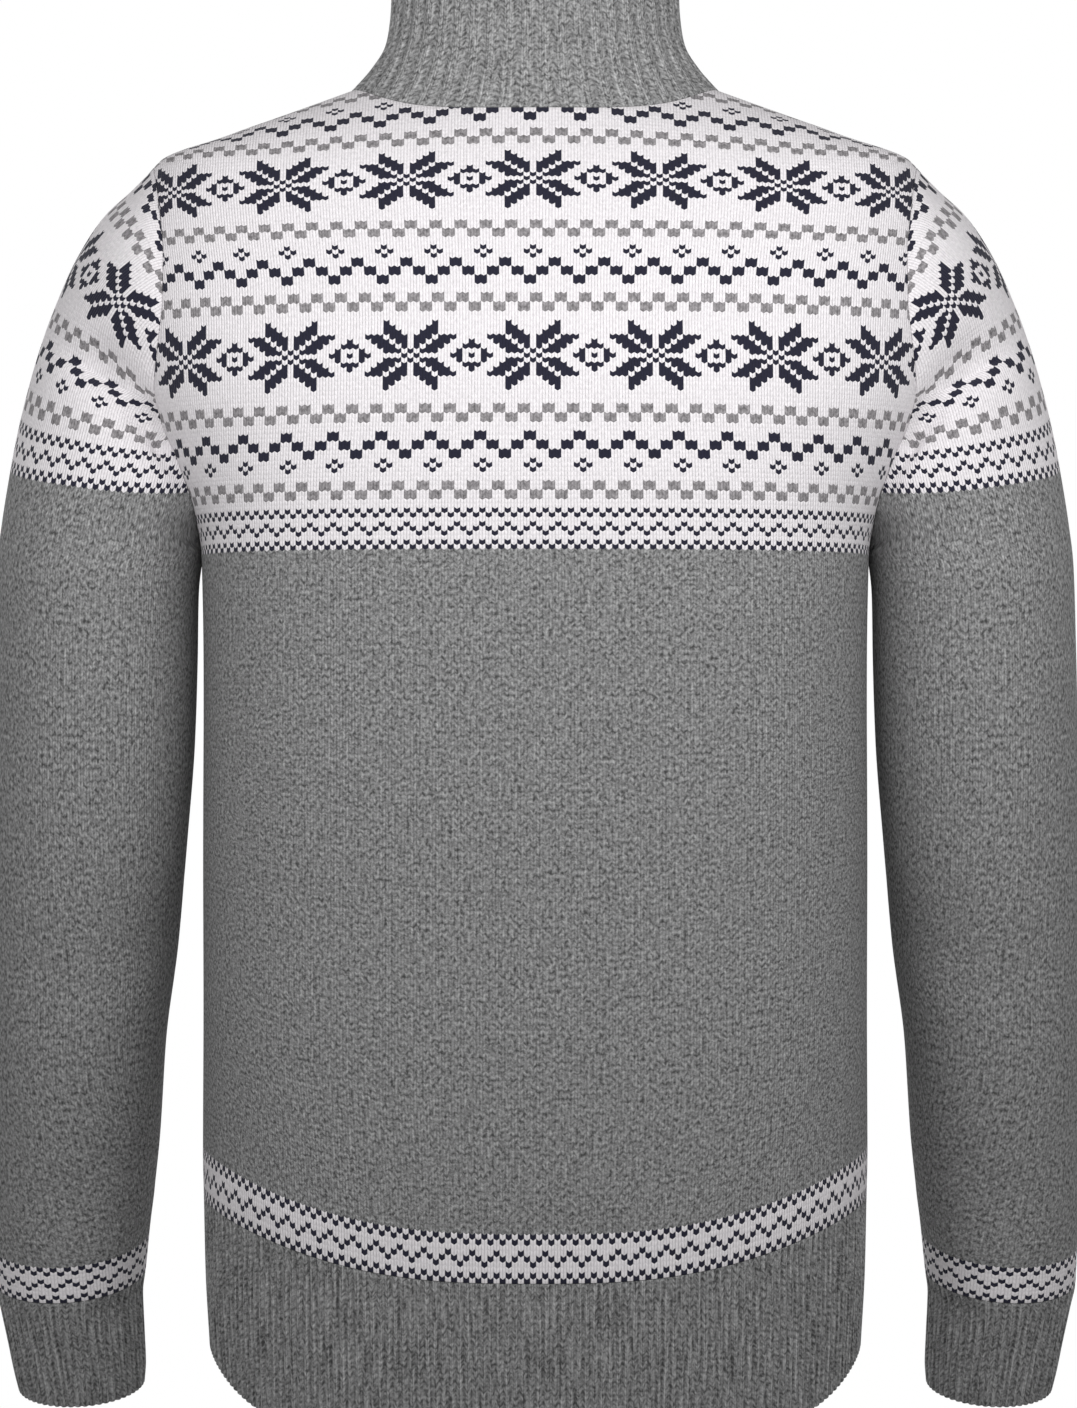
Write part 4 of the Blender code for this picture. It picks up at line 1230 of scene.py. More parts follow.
class ZipLine:
    """The fastened zip's line up the middle of the front, on the hem, the fronts and the collar."""

    def __init__(self) -> None:
        """Gathers the levels of the three forms."""
        spans = ((BODY, HEM, COLLAR.lowest - 1.0), (COLLAR, COLLAR.lowest, COLLAR.highest))
        self.levels = [
            (form, np.linspace(low, high, round((high - low) / LINE_STEP))) for form, low, high in spans
        ]

    def line(self, x: float, sink: float) -> Array:
        """The line that runs x from the middle at a depth below the outside of the cloth."""
        parts = []
        for form, levels in self.levels:
            turns = form.turn_at(levels, ZIP_OPENING + 0 * levels, Half.FRONT)
            outside = form.point(levels, turns)
            facing = form.normal(levels, turns) * (0, 1, 1)
            parts.append(outside - sink * unit(facing))
        line = np.concatenate(parts)
        line[:, 0] = x
        return line

    def at(self, x: float, sink: float, heights: Array) -> Array:
        """The points at some heights of the line that runs x from the middle at a depth."""
        line = self.line(x, sink)
        return np.stack([np.interp(heights, line[:, 2], line[:, axis]) for axis in range(3)], axis=-1)


@dataclass
class Zip:
    """The zip fastener: two woven tapes, its chain of teeth, its end pieces, its slider and its pull."""

    tape: Material
    metal: Material
    line: ZipLine = field(default_factory=ZipLine)
    foot: float = field(init=False)
    head: float = field(init=False)

    PLAIN_METAL = ("zip_box", "zip_slider", "zip_pull", "zip_top_stop_left", "zip_top_stop_right")

    def __post_init__(self) -> None:
        """Measures the ends of the fastened edge."""
        edge = self.line.line(TEETH_HALF, TAPE_SINK)[:, 2]
        self.foot, self.head = float(edge[0]), float(edge[-1])

    def build(self) -> list[bpy.types.Object]:
        """Makes the tapes and the teeth, and gives the plain metal pieces their finish."""
        pieces = []
        for side in Side:
            pieces.append(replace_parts(self.make_tape(side), f"zip_tape_{side.word}"))
            pieces.append(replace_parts(self.make_teeth(side), f"zip_teeth_{side.word}"))
        for name in self.PLAIN_METAL:
            solid = bpy.data.objects[name].data
            solid.materials.clear()
            solid.materials.append(self.metal)
        return pieces

    def make_tape(self, side: Side) -> bpy.types.Object:
        """One tape, from its woven edge at the teeth to its free edge behind the front."""
        heights = np.arange(self.foot + TAPE_SPARE, self.head - TAPE_SPARE, TAPE_STEP)
        heights = np.append(heights, self.head - TAPE_SPARE)
        across = np.linspace(TEETH_HALF + SEAM_GAP, TEETH_HALF + TAPE_WIDTH, TAPE_COLUMNS)
        outer, inner = (
            np.stack([self.line.at(x, sink, heights) for x in across], axis=1)
            for sink in (TAPE_SINK, TAPE_SINK + TAPE_WALL)
        )
        knit = np.stack(np.broadcast_arrays(across, heights[:, None]), axis=-1)
        cloth = Cloth(outer, inner, knit, rim=0.2)
        if side is Side.RIGHT:
            cloth = cloth.mirrored()
        piece = cloth.build(f"zip_tape_{side.word}", [self.tape, self.tape])
        return piece

    def make_teeth(self, side: Side) -> bpy.types.Object:
        """One side's teeth, which reach between those of the other side."""
        top = self.head - TOP_SPARE - STOP_HEIGHT - SLIDER_LENGTH / 2
        first = self.foot + BOX_TOP + TOOTH_PITCH * (0.5 if side is Side.LEFT else 1.0)
        heights = np.arange(first, top, TOOTH_PITCH)
        sink = TAPE_SINK + TAPE_WALL / 2
        middles, nearby = (
            self.line.at(side.value * TOOTH_MIDDLE, sink, heights + higher) for higher in (0.0, 1.0)
        )
        bm = bmesh.new()
        for middle, above in zip(middles, nearby):
            tilt = math.atan2(middle[1] - above[1], above[2] - middle[2])
            self.add_tooth(bm, Vector(middle), tilt)
        return finished(f"zip_teeth_{side.word}", bm, [self.metal], "garment")

    @staticmethod
    def add_tooth(bm: bmesh.types.BMesh, middle: Vector, tilt: float) -> None:
        """Adds a tooth with a thick foot clamped on the tape and a slimmer head at the middle.

        Args:
            bm: The mesh that takes the tooth.
            middle: The middle of the tooth.
            tilt: How far the chain leans there from upright.
        """
        place = Matrix.Translation(middle * MM) @ Matrix.Rotation(tilt, 4, "X")
        shape = Matrix.Diagonal((TOOTH_LENGTH * MM, TEETH_DEEP * MM, TOOTH_HEIGHT * MM, 1.0))
        verts = bmesh.ops.create_cube(bm, size=1.0, matrix=place @ shape)["verts"]
        head = [vert for vert in verts if abs(vert.co.x) < TOOTH_MIDDLE * MM]
        bmesh.ops.scale(bm, vec=(1.0, TOOTH_TAPER, 1.0), verts=head, space=place.inverted())
        edges = list(dict.fromkeys(edge for vert in verts for edge in vert.link_edges))
        bmesh.ops.bevel(
            bm,
            geom=edges,
            offset=TOOTH_ROUNDING * MM,
            segments=1,
            profile=0.5,
            affect="EDGES",
            material=-1,
        )


# --- finishes ------------------------------------------------------------------------------------

ARCH_FULLNESS = 0.6  # the lower, the fuller the yarn's round back
CHANCE_SEED, FLECK_SEED, FIBRE_SEED, FLOAT_SEED, STREAK_SEED, FUZZ_SEED = 1.0, 2.0, 4.0, 5.0, 6.0, 7.0


class Num:
    """A number in a finish's node tree, worked on with Python's own signs."""

    def __init__(self, tree: bpy.types.NodeTree, socket: bpy.types.NodeSocket) -> None:
        """Wraps the output that carries the number."""
        self.tree, self.socket = tree, socket

    def then(self, operation: str, *others: "Num | float", first: "Num | float | None" = None) -> "Num":
        """Adds a Math node.

        Args:
            operation: What it does.
            others: Its other inputs.
            first: Its first input, where that isn't this number.

        Returns:
            Its result.
        """
        node = self.tree.nodes.new("ShaderNodeMath")
        node.operation = operation
        for slot, value in enumerate((self if first is None else first, *others)):
            if isinstance(value, Num):
                self.tree.links.new(value.socket, node.inputs[slot])
            else:
                node.inputs[slot].default_value = value
        return Num(self.tree, node.outputs[0])

    def __add__(self, other: "Num | float") -> "Num":
        """The sum."""
        return self.then("ADD", other)

    def __sub__(self, other: "Num | float") -> "Num":
        """The difference."""
        return self.then("SUBTRACT", other)

    def __rsub__(self, other: float) -> "Num":
        """A plain number less this one."""
        return self.then("SUBTRACT", self, first=other)

    def __mul__(self, other: "Num | float") -> "Num":
        """The product."""
        return self.then("MULTIPLY", other)

    def __truediv__(self, other: "Num | float") -> "Num":
        """The quotient."""
        return self.then("DIVIDE", other)

    def __abs__(self) -> "Num":
        """The number without its sign."""
        return self.then("ABSOLUTE")

    def __mod__(self, other: float) -> "Num":
        """What is left after whole steps of the other number, always above 0."""
        return self.then("FLOORED_MODULO", other)

    def __lt__(self, other: "Num | float") -> "Num":
        """1 where this number is smaller, and else 0."""
        return self.then("LESS_THAN", other)

    def __gt__(self, other: "Num | float") -> "Num":
        """1 where this number is larger, and else 0."""
        return self.then("GREATER_THAN", other)

    def reaches(self, whole: float) -> "Num":
        """1 from a whole number on, and else 0."""
        return self > whole - 0.5

    def below(self, whole: float) -> "Num":
        """1 under a whole number, and else 0."""
        return self < whole - 0.5

    def either(self, other: "Num") -> "Num":
        """1 where one of two such numbers is 1."""
        return self.then("MAXIMUM", other)

    def floor(self) -> "Num":
        """The whole number below."""
        return self.then("FLOOR")

    def same(self, other: "Num | float") -> "Num":
        """1 where two whole numbers are the same, and else 0."""
        return self.then("COMPARE", other, 0.25)

    def arch(self) -> "Num":
        """A round arch from 0 over 1 to 0, while the number goes from 0 to 1."""
        return (self * (1 - self) * 4).then("MAXIMUM", 0.0).then("POWER", ARCH_FULLNESS)

    def step(self, low: float, high: float) -> "Num":
        """Rises smoothly from 0 to 1 between two numbers."""
        node = self.tree.nodes.new("ShaderNodeMapRange")
        node.interpolation_type = "SMOOTHSTEP"
        self.tree.links.new(self.socket, node.inputs["Value"])
        node.inputs["From Min"].default_value = low
        node.inputs["From Max"].default_value = high
        return Num(self.tree, node.outputs["Result"])

    def lookup(self, values: list[int], scale: int) -> "Num":
        """Reads a short list of whole numbers below a scale at this whole number; past its end it gives 0."""
        node = self.tree.nodes.new("ShaderNodeValToRGB")
        ramp = node.color_ramp
        ramp.interpolation = "CONSTANT"
        ramp.elements.remove(ramp.elements[1])
        for place, value in enumerate([*values, 0]):
            stop = ramp.elements[0] if place == 0 else ramp.elements.new(place / (len(values) + 1))
            stop.color = (value / scale, value / scale, value / scale, 1.0)
        self.tree.links.new(((self + 0.5) / (len(values) + 1)).socket, node.inputs["Fac"])
        return Num(self.tree, node.outputs["Color"]) * scale


Colour = tuple[float, float, float]
Place = tuple[float, float, float]


@dataclass(frozen=True)
class Finish:
    """A finish whose looks are drawn from the piece's own map or from its place."""

    name: str

    def made(self) -> Material:
        """The finished material."""
        material = bpy.data.materials.new(self.name)
        material.use_nodes = True
        self.draw(material.node_tree, material.node_tree.nodes["Principled BSDF"])
        return material

    def draw(self, tree: bpy.types.NodeTree, shader: bpy.types.ShaderNode) -> None:
        """Draws the finish, each kind in its own way.

        Args:
            tree: The material's nodes.
            shader: Its shader.
        """
        raise NotImplementedError


def stitch_map(tree: bpy.types.NodeTree) -> tuple[Num, Num]:
    """The number of stitches across and of rows up at each place."""
    source = tree.nodes.new("ShaderNodeUVMap")
    source.uv_map = KNIT
    parts = tree.nodes.new("ShaderNodeSeparateXYZ")
    tree.links.new(source.outputs["UV"], parts.inputs["Vector"])
    return Num(tree, parts.outputs["X"]), Num(tree, parts.outputs["Y"])


def joined_vector(x: Num, y: Num, z: float = 0.0) -> bpy.types.NodeSocket:
    """A vector of two numbers and a plain one."""
    node = x.tree.nodes.new("ShaderNodeCombineXYZ")
    x.tree.links.new(x.socket, node.inputs["X"])
    x.tree.links.new(y.socket, node.inputs["Y"])
    node.inputs["Z"].default_value = z
    return node.outputs["Vector"]


def chance(x: Num, y: Num, seed: float) -> Num:
    """An even chance between 0 and 1 for each pair of whole numbers."""
    node = x.tree.nodes.new("ShaderNodeTexWhiteNoise")
    node.noise_dimensions = "3D"
    x.tree.links.new(joined_vector(x, y, seed), node.inputs["Vector"])
    return Num(x.tree, node.outputs["Value"])


def cloudy(x: Num, y: Num, seed: float, detail: float = 2.0) -> Num:
    """Soft noise between 0 and 1, around 0.5."""
    node = x.tree.nodes.new("ShaderNodeTexNoise")
    node.inputs["Scale"].default_value = 1.0
    node.inputs["Detail"].default_value = detail
    x.tree.links.new(joined_vector(x, y, seed), node.inputs["Vector"])
    return Num(x.tree, node.outputs["Fac"])


def mixed(tree: bpy.types.NodeTree, share: Num, first: object, second: object) -> bpy.types.NodeSocket:
    """A colour part of the way from the first to the second; each is a plain colour or a socket."""
    node = tree.nodes.new("ShaderNodeMix")
    node.data_type = "RGBA"
    tree.links.new(share.socket, node.inputs["Factor"])
    colour_inputs = [one for one in node.inputs if one.type == "RGBA"]
    for slot, colour in zip(colour_inputs, (first, second)):
        if isinstance(colour, tuple):
            slot.default_value = (*colour, 1.0)
        else:
            tree.links.new(colour, slot)
    return next(one for one in node.outputs if one.type == "RGBA")


def scaled(colour: object, factor: Num) -> bpy.types.NodeSocket:
    """A colour, plain or a socket, times a number."""
    node = factor.tree.nodes.new("ShaderNodeVectorMath")
    node.operation = "SCALE"
    if isinstance(colour, tuple):
        node.inputs[0].default_value = colour
    else:
        factor.tree.links.new(colour, node.inputs[0])
    factor.tree.links.new(factor.socket, node.inputs["Scale"])
    return node.outputs["Vector"]


def raised(tree: bpy.types.NodeTree, height: Num, depth: float) -> bpy.types.NodeSocket:
    """Directions of a surface that stands out by a height from 0 to 1 times a depth in millimetres."""
    node = tree.nodes.new("ShaderNodeBump")
    node.inputs["Strength"].default_value = 1.0
    node.inputs["Distance"].default_value = depth * MM
    tree.links.new(height.socket, node.inputs["Height"])
    return node.outputs["Normal"]


@dataclass(frozen=True)
class Yarns:
    """The colours of the yarns."""

    grey: Colour = (0.250, 0.250, 0.251)
    white: Colour = (0.900, 0.866, 0.890)
    check: Colour = (0.285, 0.270, 0.280)
    navy: Colour = (0.0120, 0.0122, 0.0310)


class Chart:
    """The knitting chart of the yoke and of the narrow bands: which yarn each stitch is knitted in."""

    BAND = [10, 5, 0, 4, 10, 1, 0, 10, 5]  # the narrow band's rows, a bit for each of four stitches
    STAR = [1410, 285, 1594, 1142, 238, 28, 24, 16]  # from the star's middle row out, a bit for each stitch
    CYCLE, FIRST = 41, 28  # rows of the yoke's repeat, and the row where its first whole one starts
    ABOVE_BAND = 9  # rows of the narrow band at the foot of the yoke
    TRIM_SHIFT = 2  # stitches by which the trim's zigzag lies aside of the yoke's
    STAR_REPEAT, STAR_ROW = 20, 14  # stitches from star to star, and the cycle's row through their middle
    CHECK_AT, CHECK_ROWS, CHECK_TURN = 24, 4, 40  # rows between the checks, of them, and where they swap
    BLOCK_AT, BLOCK_ROWS = 30, 9  # the cycle's row where the blocks start, and how many they fill

    def __init__(self, stitch: Num, row: Num) -> None:
        """Reads the chart for whole stitches and rows.

        Args:
            stitch: Number of the stitch, 0 at the middle of a star.
            row: Number of the row, 0 at the foot of the yoke.
        """
        yoke = row.reaches(0)
        banded = row - (1 - yoke) * TRIM_FOOT
        upper = row.reaches(self.ABOVE_BAND)
        cycle = (row - self.FIRST) % self.CYCLE
        across = (stitch + (1 - yoke) * self.TRIM_SHIFT) % 4
        band = self.bit(banded.lookup(self.BAND, 16), across) * banded.reaches(0) * (1 - upper)
        star = self.star(stitch, cycle)
        zigzag, small = self.blocks(stitch, row, cycle)
        self.navy = band.either(star.either(zigzag).either(small) * upper)
        self.check = self.checks(stitch, row, cycle) * upper
        self.white = yoke.either(banded.reaches(0) * banded.below(TRIM_ROWS))

    @staticmethod
    def bit(mask: Num, place: Num) -> Num:
        """One bit of a mask."""
        return (mask / place.then("POWER", place, first=2.0) + 0.001).floor() % 2.0

    def star(self, stitch: Num, cycle: Num) -> Num:
        """The eight-pointed stars with the small diamonds between them."""
        half = self.STAR_REPEAT / 2
        across = abs((stitch + half) % self.STAR_REPEAT - half)
        return self.bit(abs(cycle - self.STAR_ROW).lookup(self.STAR, 2048), across)

    def checks(self, stitch: Num, row: Num, cycle: Num) -> Num:
        """The two rows of grey checks on each side of the stars."""
        within = cycle % self.CHECK_AT
        apart = abs((stitch % 4).reaches(2) - within.reaches(2))
        turned = row.reaches(self.CHECK_TURN)
        return abs(1 - turned - apart) * within.below(self.CHECK_ROWS)

    def blocks(self, stitch: Num, row: Num, cycle: Num) -> tuple[Num, Num]:
        """The zigzag of square blocks and the row of small diamonds, which lies below the lowest zigzag."""
        up = cycle - self.BLOCK_AT
        lowest = row.below(self.FIRST)
        up = up + lowest * (self.BLOCK_ROWS - 1 - up - up)
        wave = 2 - abs(((stitch + 1) % 8 / 2).floor() - 2)
        zigzag = wave.same((up / 2).floor())
        small = abs((stitch + 4) % 8 - 4).same(1 - abs(up - 7))
        return zigzag, small


@dataclass(frozen=True)
class Heather:
    """The mottling of a yarn spun from light and dark fibres."""

    fleck: tuple[float, float] = (1.95, 1.95)  # width and height of its flecks in millimetres
    fibre: tuple[float, float] = (0.60, 0.80)
    streak: tuple[float, float] = (1.70, 17.0)
    flecks: float = 3.1  # how strong they are
    fibres: float = 1.3
    streaks: float = 0.45

    def draw(self, x: Num, y: Num) -> Num:
        """How much lighter than its mean the yarn is.

        Args:
            x: Place across the knit in millimetres.
            y: Place up it.

        Returns:
            A number around 0.
        """
        flecks, fibres, streaks = (
            (cloudy(x / width, y / height, seed, detail=1.0) - 0.5) * strength
            for (width, height), seed, strength in (
                (self.fleck, FLECK_SEED, self.flecks),
                (self.fibre, FIBRE_SEED, self.fibres),
                (self.streak, STREAK_SEED, self.streaks),
            )
        )
        return flecks + fibres + streaks


@dataclass(frozen=True)
class Wool(Finish):
    """What the plain and the ribbed knit share."""

    heather: Heather = Heather()
    relief: float = 0.45
    hairs: tuple[float, float] = (9.0, 5.0)  # loose hairs across a stitch and up it
    hair_height: float = 0.25
    darkest: float = 0.25  # the least light that a fleck leaves
    roughness: float = 0.92
    bloom: float = 0.08
    bloom_roughness: float = 0.45

    def fuzz(self, u: Num, v: Num) -> Num:
        """The height of the loose hairs over the knit."""
        return cloudy(u * self.hairs[0], v * self.hairs[1], FUZZ_SEED) * self.hair_height

    def finish(self, shader: bpy.types.ShaderNode, colour: bpy.types.NodeSocket, height: Num) -> None:
        """Gives the shader its colour, its stitches' relief and the dull bloom of wool."""
        tree = height.tree
        tree.links.new(colour, shader.inputs["Base Color"])
        tree.links.new(raised(tree, height, self.relief), shader.inputs["Normal"])
        shader.inputs["Roughness"].default_value = self.roughness
        shader.inputs["Sheen Weight"].default_value = self.bloom
        shader.inputs["Sheen Roughness"].default_value = self.bloom_roughness


@dataclass(frozen=True)
class KnitWool(Wool):
    """Plain knit seen from its right side: V-shaped stitches, with the traditional yoke in it."""

    yarns: Yarns = Yarns()
    slope: float = 0.38  # how much higher a stitch ends at its sides than in its middle
    purl_wave: float = 0.2  # how far the bumps of the inside lie above and below their row
    float_half: float = 0.2  # half the height of a strand that floats over the inside
    float_chance: float = 0.6  # the share of stitches with no such strand
    white_mottle: float = 0.12  # how mottled the white is, where grey is 1
    stitch_mottle: float = 0.2  # how much whole stitches differ
    shadow: float = 0.05  # how much darker the white's stitches are at their rims
    grey_shadow: float = 0.10  # what grey adds to it
    light: float = 0.98
    reverse: bool = False

    def draw(self, tree: bpy.types.NodeTree, shader: bpy.types.ShaderNode) -> None:
        """Draws every stitch from the knit's map."""
        u, v = stitch_map(tree)
        across = (u + 0.5).floor()
        aside = abs((u + 0.5 - across) * 2 - 1)
        if self.reverse:
            height_at = v + (u * 2 * math.pi).then("COSINE") * self.purl_wave
        else:
            height_at = v + self.slope / 2 - aside * self.slope
        row = height_at.floor()
        up = height_at - row
        chart = Chart(across, row)
        navy = chart.navy
        if self.reverse:
            float_yarn = (abs(up - 0.5) < self.float_half) * v.reaches(0)
            navy = abs(navy - float_yarn * (chance(across, row, FLOAT_SEED) > self.float_chance))
            height = up.arch()
        else:
            height = aside.arch() * (up.arch() * 0.5 + 0.5)
        ground = mixed(tree, chart.white, self.yarns.grey, self.yarns.white)
        ground = mixed(tree, chart.check, ground, self.yarns.check)
        colour = mixed(tree, navy, ground, self.yarns.navy)
        plain = 1 - chart.white * (1 - chart.check * 0.5)
        mottled = self.heather.draw(u * STITCH, height_at * COURSE)
        mottled = mottled + (chance(across, row, CHANCE_SEED) - 0.5) * self.stitch_mottle
        light = (plain * (1 - self.white_mottle) + self.white_mottle) * mottled + 1.0
        shade = (height - 0.5) * (plain * self.grey_shadow + self.shadow) + self.light
        lit = scaled(colour, light.then("MAXIMUM", self.darkest) * shade)
        self.finish(shader, lit, height + self.fuzz(u, v))


@dataclass(frozen=True)
class RibKnit(Wool):
    """Ribbed knit: stitches on the crests, purl furrows between them, with painted shade in the furrows and
    at the stitches' rims.
    """

    heather: Heather = Heather(streak=(1.5, 26.0), streaks=1.9)
    hairs: tuple[float, float] = (14.0, 5.0)
    rib: Rib = HEM_RIB
    # painted light: the plain knit's grey yarn, made lighter here to offset the shade on the ribs
    yarn: Colour = (0.285, 0.285, 0.286)
    crest: float = 0.62  # the share of a rib that its crest takes up
    flank: float = 0.2
    purl_height: float = 0.6
    # painted shade: how light the purl furrows are, where the crests are 1
    furrow_light: float = 0.82
    rim_light: float = 0.88  # painted shade: how light a stitch's rims are
    stitch_light: float = 0.14  # painted light that its middle adds to them

    def draw(self, tree: bpy.types.NodeTree, shader: bpy.types.ShaderNode) -> None:
        """Draws the stitches of the crests and the furrows from the knit's map, with painted shade in the
        furrows and at the stitches' rims.
        """
        u, v = stitch_map(tree)
        out = abs((u + 0.5) % 1.0 * 2 - 1)
        aside = out / self.crest
        if self.rib.kind is RibKind.DOUBLE:
            aside = abs(abs(aside - 0.5) * 2)
        height_at = v + 0.25 - aside * 0.5
        up = height_at % 1.0
        on_crest = 1 - out.step(self.crest, self.crest + self.flank)
        stitch = aside.then("MINIMUM", 1.0).arch() * (up.arch() * 0.5 + 0.5)
        purl = (v % 1.0).arch() * self.purl_height
        height = stitch * on_crest + purl * (1 - on_crest)
        mottled = self.heather.draw(u * self.rib.pitch, height_at * self.rib.course)
        light = (mottled + 1.0).then("MAXIMUM", self.darkest)
        # painted shade: darker in the furrows, and darker at each stitch's rims than at its middle
        furrow_shading = on_crest * (1 - self.furrow_light) + self.furrow_light
        shade = (height * self.stitch_light + self.rim_light) * furrow_shading
        self.finish(shader, scaled(self.yarn, light * shade), height + self.fuzz(u, v))


@dataclass(frozen=True)
class WovenTape(Finish):
    """The zip's woven tape, in a fine herringbone."""

    colour: Colour = (0.055, 0.055, 0.060)
    stripe: float = 3.5  # width of a stripe of the herringbone in millimetres
    thread: float = 0.7
    depth: float = 0.15
    shadow: float = 0.6  # how light the tape is between its threads
    roughness: float = 0.8

    def draw(self, tree: bpy.types.NodeTree, shader: bpy.types.ShaderNode) -> None:
        """Draws the threads from the tape's map of millimetres."""
        across, up = stitch_map(tree)
        zig = abs((across / self.stripe) % 1.0 - 0.5) * 2 * self.stripe
        height = (((up + zig) / self.thread) % 1.0).arch()
        base = mixed(tree, height, tuple(self.shadow * part for part in self.colour), self.colour)
        tree.links.new(base, shader.inputs["Base Color"])
        tree.links.new(raised(tree, height, self.depth), shader.inputs["Normal"])
        shader.inputs["Roughness"].default_value = self.roughness


@dataclass(frozen=True)
class Nickel(Finish):
    """Dark satin nickel, faintly marked."""

    colour: Colour = (0.205, 0.202, 0.196)
    fineness: float = 900.0  # marks to a metre
    roughness: float = 0.36
    marked: float = 0.16  # how much rougher the marks are

    def draw(self, tree: bpy.types.NodeTree, shader: bpy.types.ShaderNode) -> None:
        """Draws faint marks in the polish."""
        place = tree.nodes.new("ShaderNodeTexCoord")
        marks = tree.nodes.new("ShaderNodeTexNoise")
        marks.inputs["Scale"].default_value = self.fineness
        marks.inputs["Detail"].default_value = 4.0
        tree.links.new(place.outputs["Object"], marks.inputs["Vector"])
        rough = Num(tree, marks.outputs["Fac"]) * self.marked + self.roughness
        tree.links.new(rough.socket, shader.inputs["Roughness"])
        shader.inputs["Base Color"].default_value = (*self.colour, 1.0)
        shader.inputs["Metallic"].default_value = 1.0


# --- the garment ---------------------------------------------------------------------------------


@dataclass
class Body:
    """The back, the two fronts, and the ribbed band under them."""

    wool: list[Material]
    rib: list[Material]

    CELLS = {Half.BACK: 112, Half.FRONT: 54}  # mesh cells across the panels

    def build(self) -> list[bpy.types.Object]:
        """Makes the six pieces."""
        back, front = (Panel(BODY, half, list(BODY_ROWS), self.CELLS[half]).cloth() for half in Half)
        pieces = [back.build("back_panel", self.wool)]
        pieces.append(front.build("front_left", self.wool))
        pieces.append(front.mirrored().build("front_right", self.wool))
        under_back, hem = (Band(HEM_RIB, BODY, half, [HEM, RIB_TOP], BAND_CELLS, -1).cloth() for half in Half)
        pieces.append(under_back.build("hem_rib_back", self.rib))
        pieces.append(hem.build("hem_rib_front_left", self.rib))
        pieces.append(hem.mirrored().build("hem_rib_front_right", self.rib))
        return pieces


@dataclass
class Collar:
    """The stand-up collar, open in front for the zip."""

    rib: list[Material]

    CELLS = 6  # rows of mesh from ring to ring

    def build(self) -> list[bpy.types.Object]:
        """Makes the collar."""
        levels = column(COLLAR_RINGS, "back")
        band = Band(COLLAR_RIB, COLLAR, Half.BACK, levels, self.CELLS, 0, folds=())
        return [band.cloth().build("collar", self.rib)]


@dataclass
class Sleeves:
    """Both sleeves and their cuffs."""

    wool: list[Material]
    rib: list[Material]

    CUFF_RIBS = 54

    def build(self) -> list[bpy.types.Object]:
        """Makes the four pieces."""
        pieces = []
        sleeve, cuff = SleevePanel().cloth(), self.cuff()
        for side in Side:
            for name, cloth, finishes in (("sleeve", sleeve, self.wool), ("cuff", cuff, self.rib)):
                placed = cloth if side is Side.LEFT else cloth.mirrored()
                pieces.append(placed.build(f"{name}_{side.word}", finishes))
        return pieces

    def cuff(self) -> Cloth:
        """The wearer's left cuff."""
        cells = self.CUFF_RIBS * CUFF_RIB.cells
        fine = SleevePanel(cells, cuff=True)
        ribs = np.arange(cells + 1) / CUFF_RIB.cells
        return CUFF_RIB.cloth(fine.points, fine.normals, ribs, tube=True, mate=-1)


@dataclass(frozen=True)
class Cut:
    """The flat cut of a piece: its width and length in millimetres, and its share of their rectangle."""

    width: float
    length: float
    share: float


CUTS = {
    "back_panel": Cut(560, 660, 0.80),
    "front": Cut(280, 640, 0.83),
    "sleeve": Cut(460, 640, 0.63),
    "collar": Cut(500, 80, 0.95),
    "cuff": Cut(250, 70, 1.0),
    "hem_rib_back": Cut(460, 84, 1.0),
    "hem_rib_front": Cut(260, 84, 1.0),
}


def declare(piece: bpy.types.Object) -> None:
    """Looks up how a piece was cut and hides the solid that it stands for; the area of its cut is worked out
    but not used.
    """
    node = piece.name.removesuffix(FINE)
    cut = CUTS[node.removesuffix("_left").removesuffix("_right")]
    area = cut.width * cut.length * cut.share * MM * MM
    cut.width * MM
    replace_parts(piece, node)


# --- the studio ----------------------------------------------------------------------------------


@dataclass(frozen=True)
class SoftBox:
    """A wide soft light and what it faces."""

    name: str
    place: Place
    aim: Place
    power: float
    width: float = 1.7
    height: float = 0.35


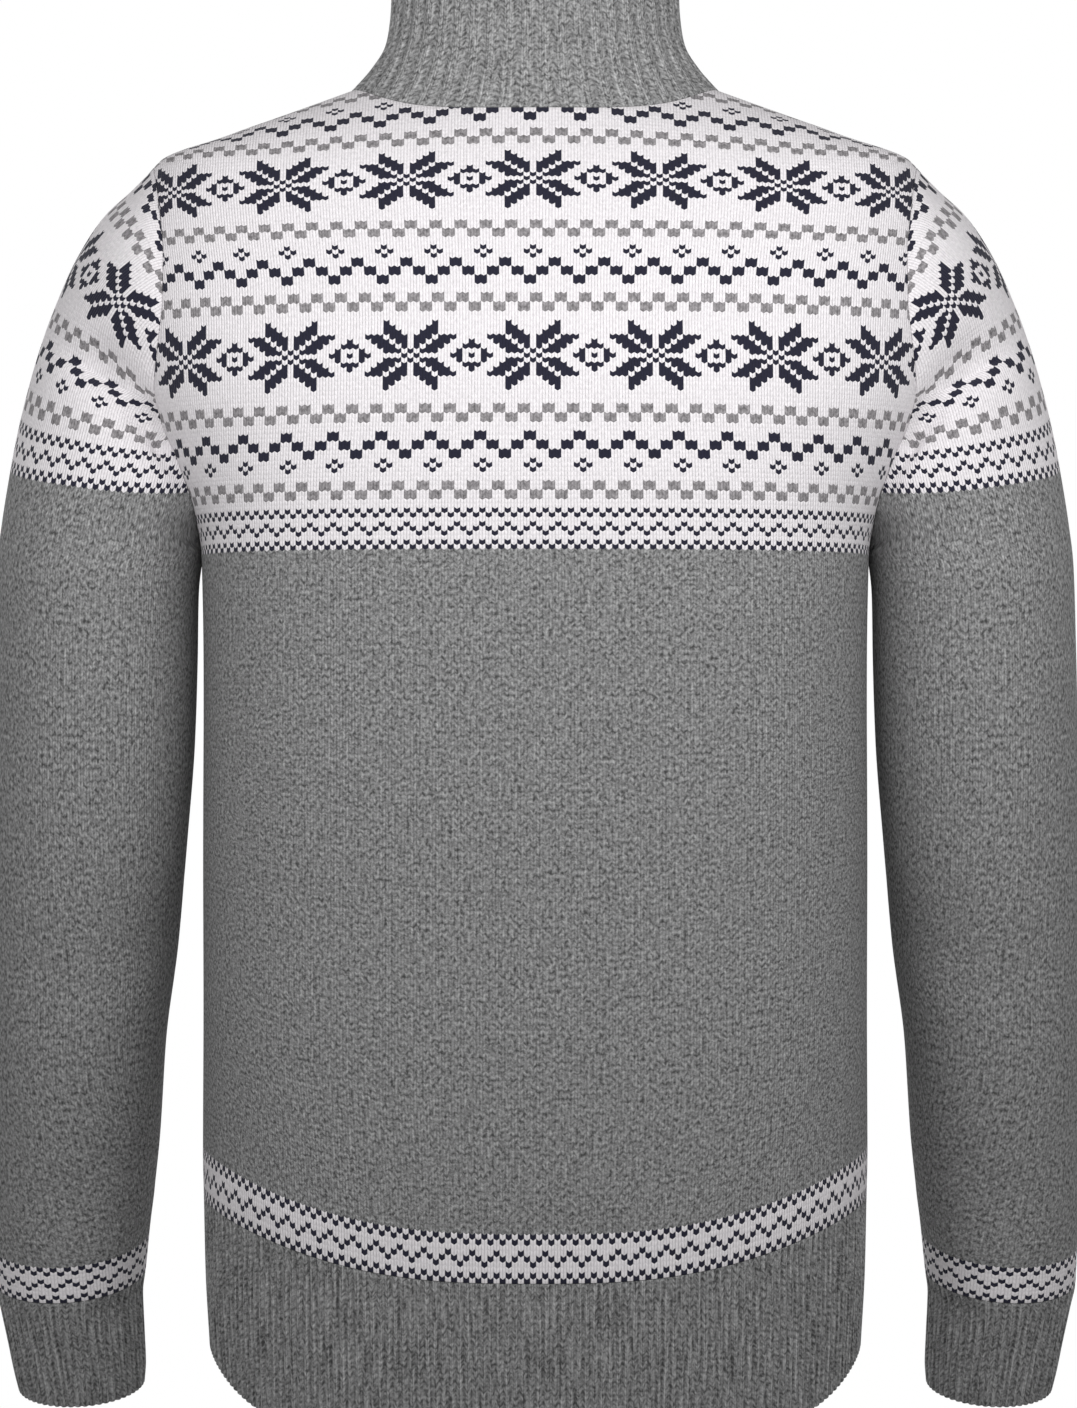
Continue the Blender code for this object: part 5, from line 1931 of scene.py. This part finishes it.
@dataclass
class Studio:
    """A white studio: its floor, its lights and its camera."""

    boxes: tuple[SoftBox, ...] = (
        SoftBox("key", (-0.05, 0.75, 0.04), (0.0, 0.1, -0.10), 7.4),
        SoftBox("front key", (0.05, -0.80, 0.04), (0.0, -0.1, -0.10), 7.4),
    )
    floor_z: float = -1.45
    floor_radius: float = 1.8
    floor_colour: Colour = (0.86, 0.86, 0.86)
    camera_place: Place = (-0.0018, 2.32, -0.334)
    lens: float = 140.06
    ambient: float = 0.29

    def build(self) -> None:
        """Makes the studio."""
        self.build_floor()
        self.build_world()
        for box in self.boxes:
            self.build_light(box)
        self.build_camera()
        bpy.context.scene.view_settings.view_transform = "Standard"

    def build_floor(self) -> None:
        """A plain pale disc under the mount."""
        bm = bmesh.new()
        bmesh.ops.create_circle(bm, cap_ends=True, segments=96, radius=self.floor_radius)
        bmesh.ops.translate(bm, vec=(0.0, 0.0, self.floor_z), verts=bm.verts)
        mesh = bpy.data.meshes.new("studio floor")
        bm.to_mesh(mesh)
        bm.free()
        pale = bpy.data.materials.new("pale floor")
        pale.use_nodes = True
        shader = pale.node_tree.nodes["Principled BSDF"]
        shader.inputs["Base Color"].default_value = (*self.floor_colour, 1.0)
        shader.inputs["Roughness"].default_value = 0.9
        mesh.materials.append(pale)
        floor = bpy.data.objects.new("studio floor", mesh)
        bpy.context.scene.collection.objects.link(floor)

    def build_world(self) -> None:
        """A white surround that lights the garment more softly than it looks."""
        world = bpy.data.worlds.new("white studio")
        world.use_nodes = True
        tree = world.node_tree
        surround = tree.nodes["Background"]
        surround.inputs["Color"].default_value = (1.0, 1.0, 1.0, 1.0)
        rays = tree.nodes.new("ShaderNodeLightPath")
        seen = Num(tree, rays.outputs["Is Camera Ray"])
        strength = seen * (1.0 - self.ambient) + self.ambient
        tree.links.new(strength.socket, surround.inputs["Strength"])
        bpy.context.scene.world = world

    @staticmethod
    def build_light(box: SoftBox) -> None:
        """Hangs one soft light."""
        light = bpy.data.lights.new(box.name, "AREA")
        light.shape = "RECTANGLE"
        light.size, light.size_y = box.width, box.height
        light.energy = box.power
        hung = bpy.data.objects.new(box.name, light)
        hung.location = box.place
        hung.rotation_euler = (Vector(box.aim) - Vector(box.place)).to_track_quat("-Z", "Y").to_euler()
        hung.visible_camera = False
        bpy.context.scene.collection.objects.link(hung)

    def build_camera(self) -> None:
        """A long lens, level with the middle of the back."""
        lens = bpy.data.cameras.new("camera")
        lens.sensor_fit = "HORIZONTAL"
        lens.lens = self.lens
        camera = bpy.data.objects.new("camera", lens)
        camera.location = self.camera_place
        camera.rotation_euler = (math.pi / 2, 0.0, math.pi)
        bpy.context.scene.collection.objects.link(camera)
        bpy.context.scene.camera = camera


def main() -> None:
    """Builds the garment and its studio."""
    logging.basicConfig(level=logging.INFO, format="%(name)s: %(message)s")
    wool = [KnitWool("wool knit").made(), KnitWool("wool knit inside", reverse=True).made()]
    rib = [RibKnit("wool rib").made()] * 2
    # painted light: the collar's yarn is the ribs' grey, made lighter still for the light that falls on the
    # collar
    collar_rib_painted_lighter = RibKnit("wool collar rib", Heather(streaks=1.1), rib=COLLAR_RIB, yarn=(0.300, 0.300, 0.301))
    collar_rib = [collar_rib_painted_lighter.made()] * 2
    cloth = Body(wool, rib).build() + Collar(collar_rib).build() + Sleeves(wool, rib).build()
    for piece in cloth:
        declare(piece)
    hardware = Zip(WovenTape("zip tape weave").made(), Nickel("nickel").made()).build()
    for piece in [*cloth, *hardware]:
        LOG.info("%s: %d faces", piece.name, len(piece.data.polygons))
    Studio().build()


if __name__ == "__main__":
    main()
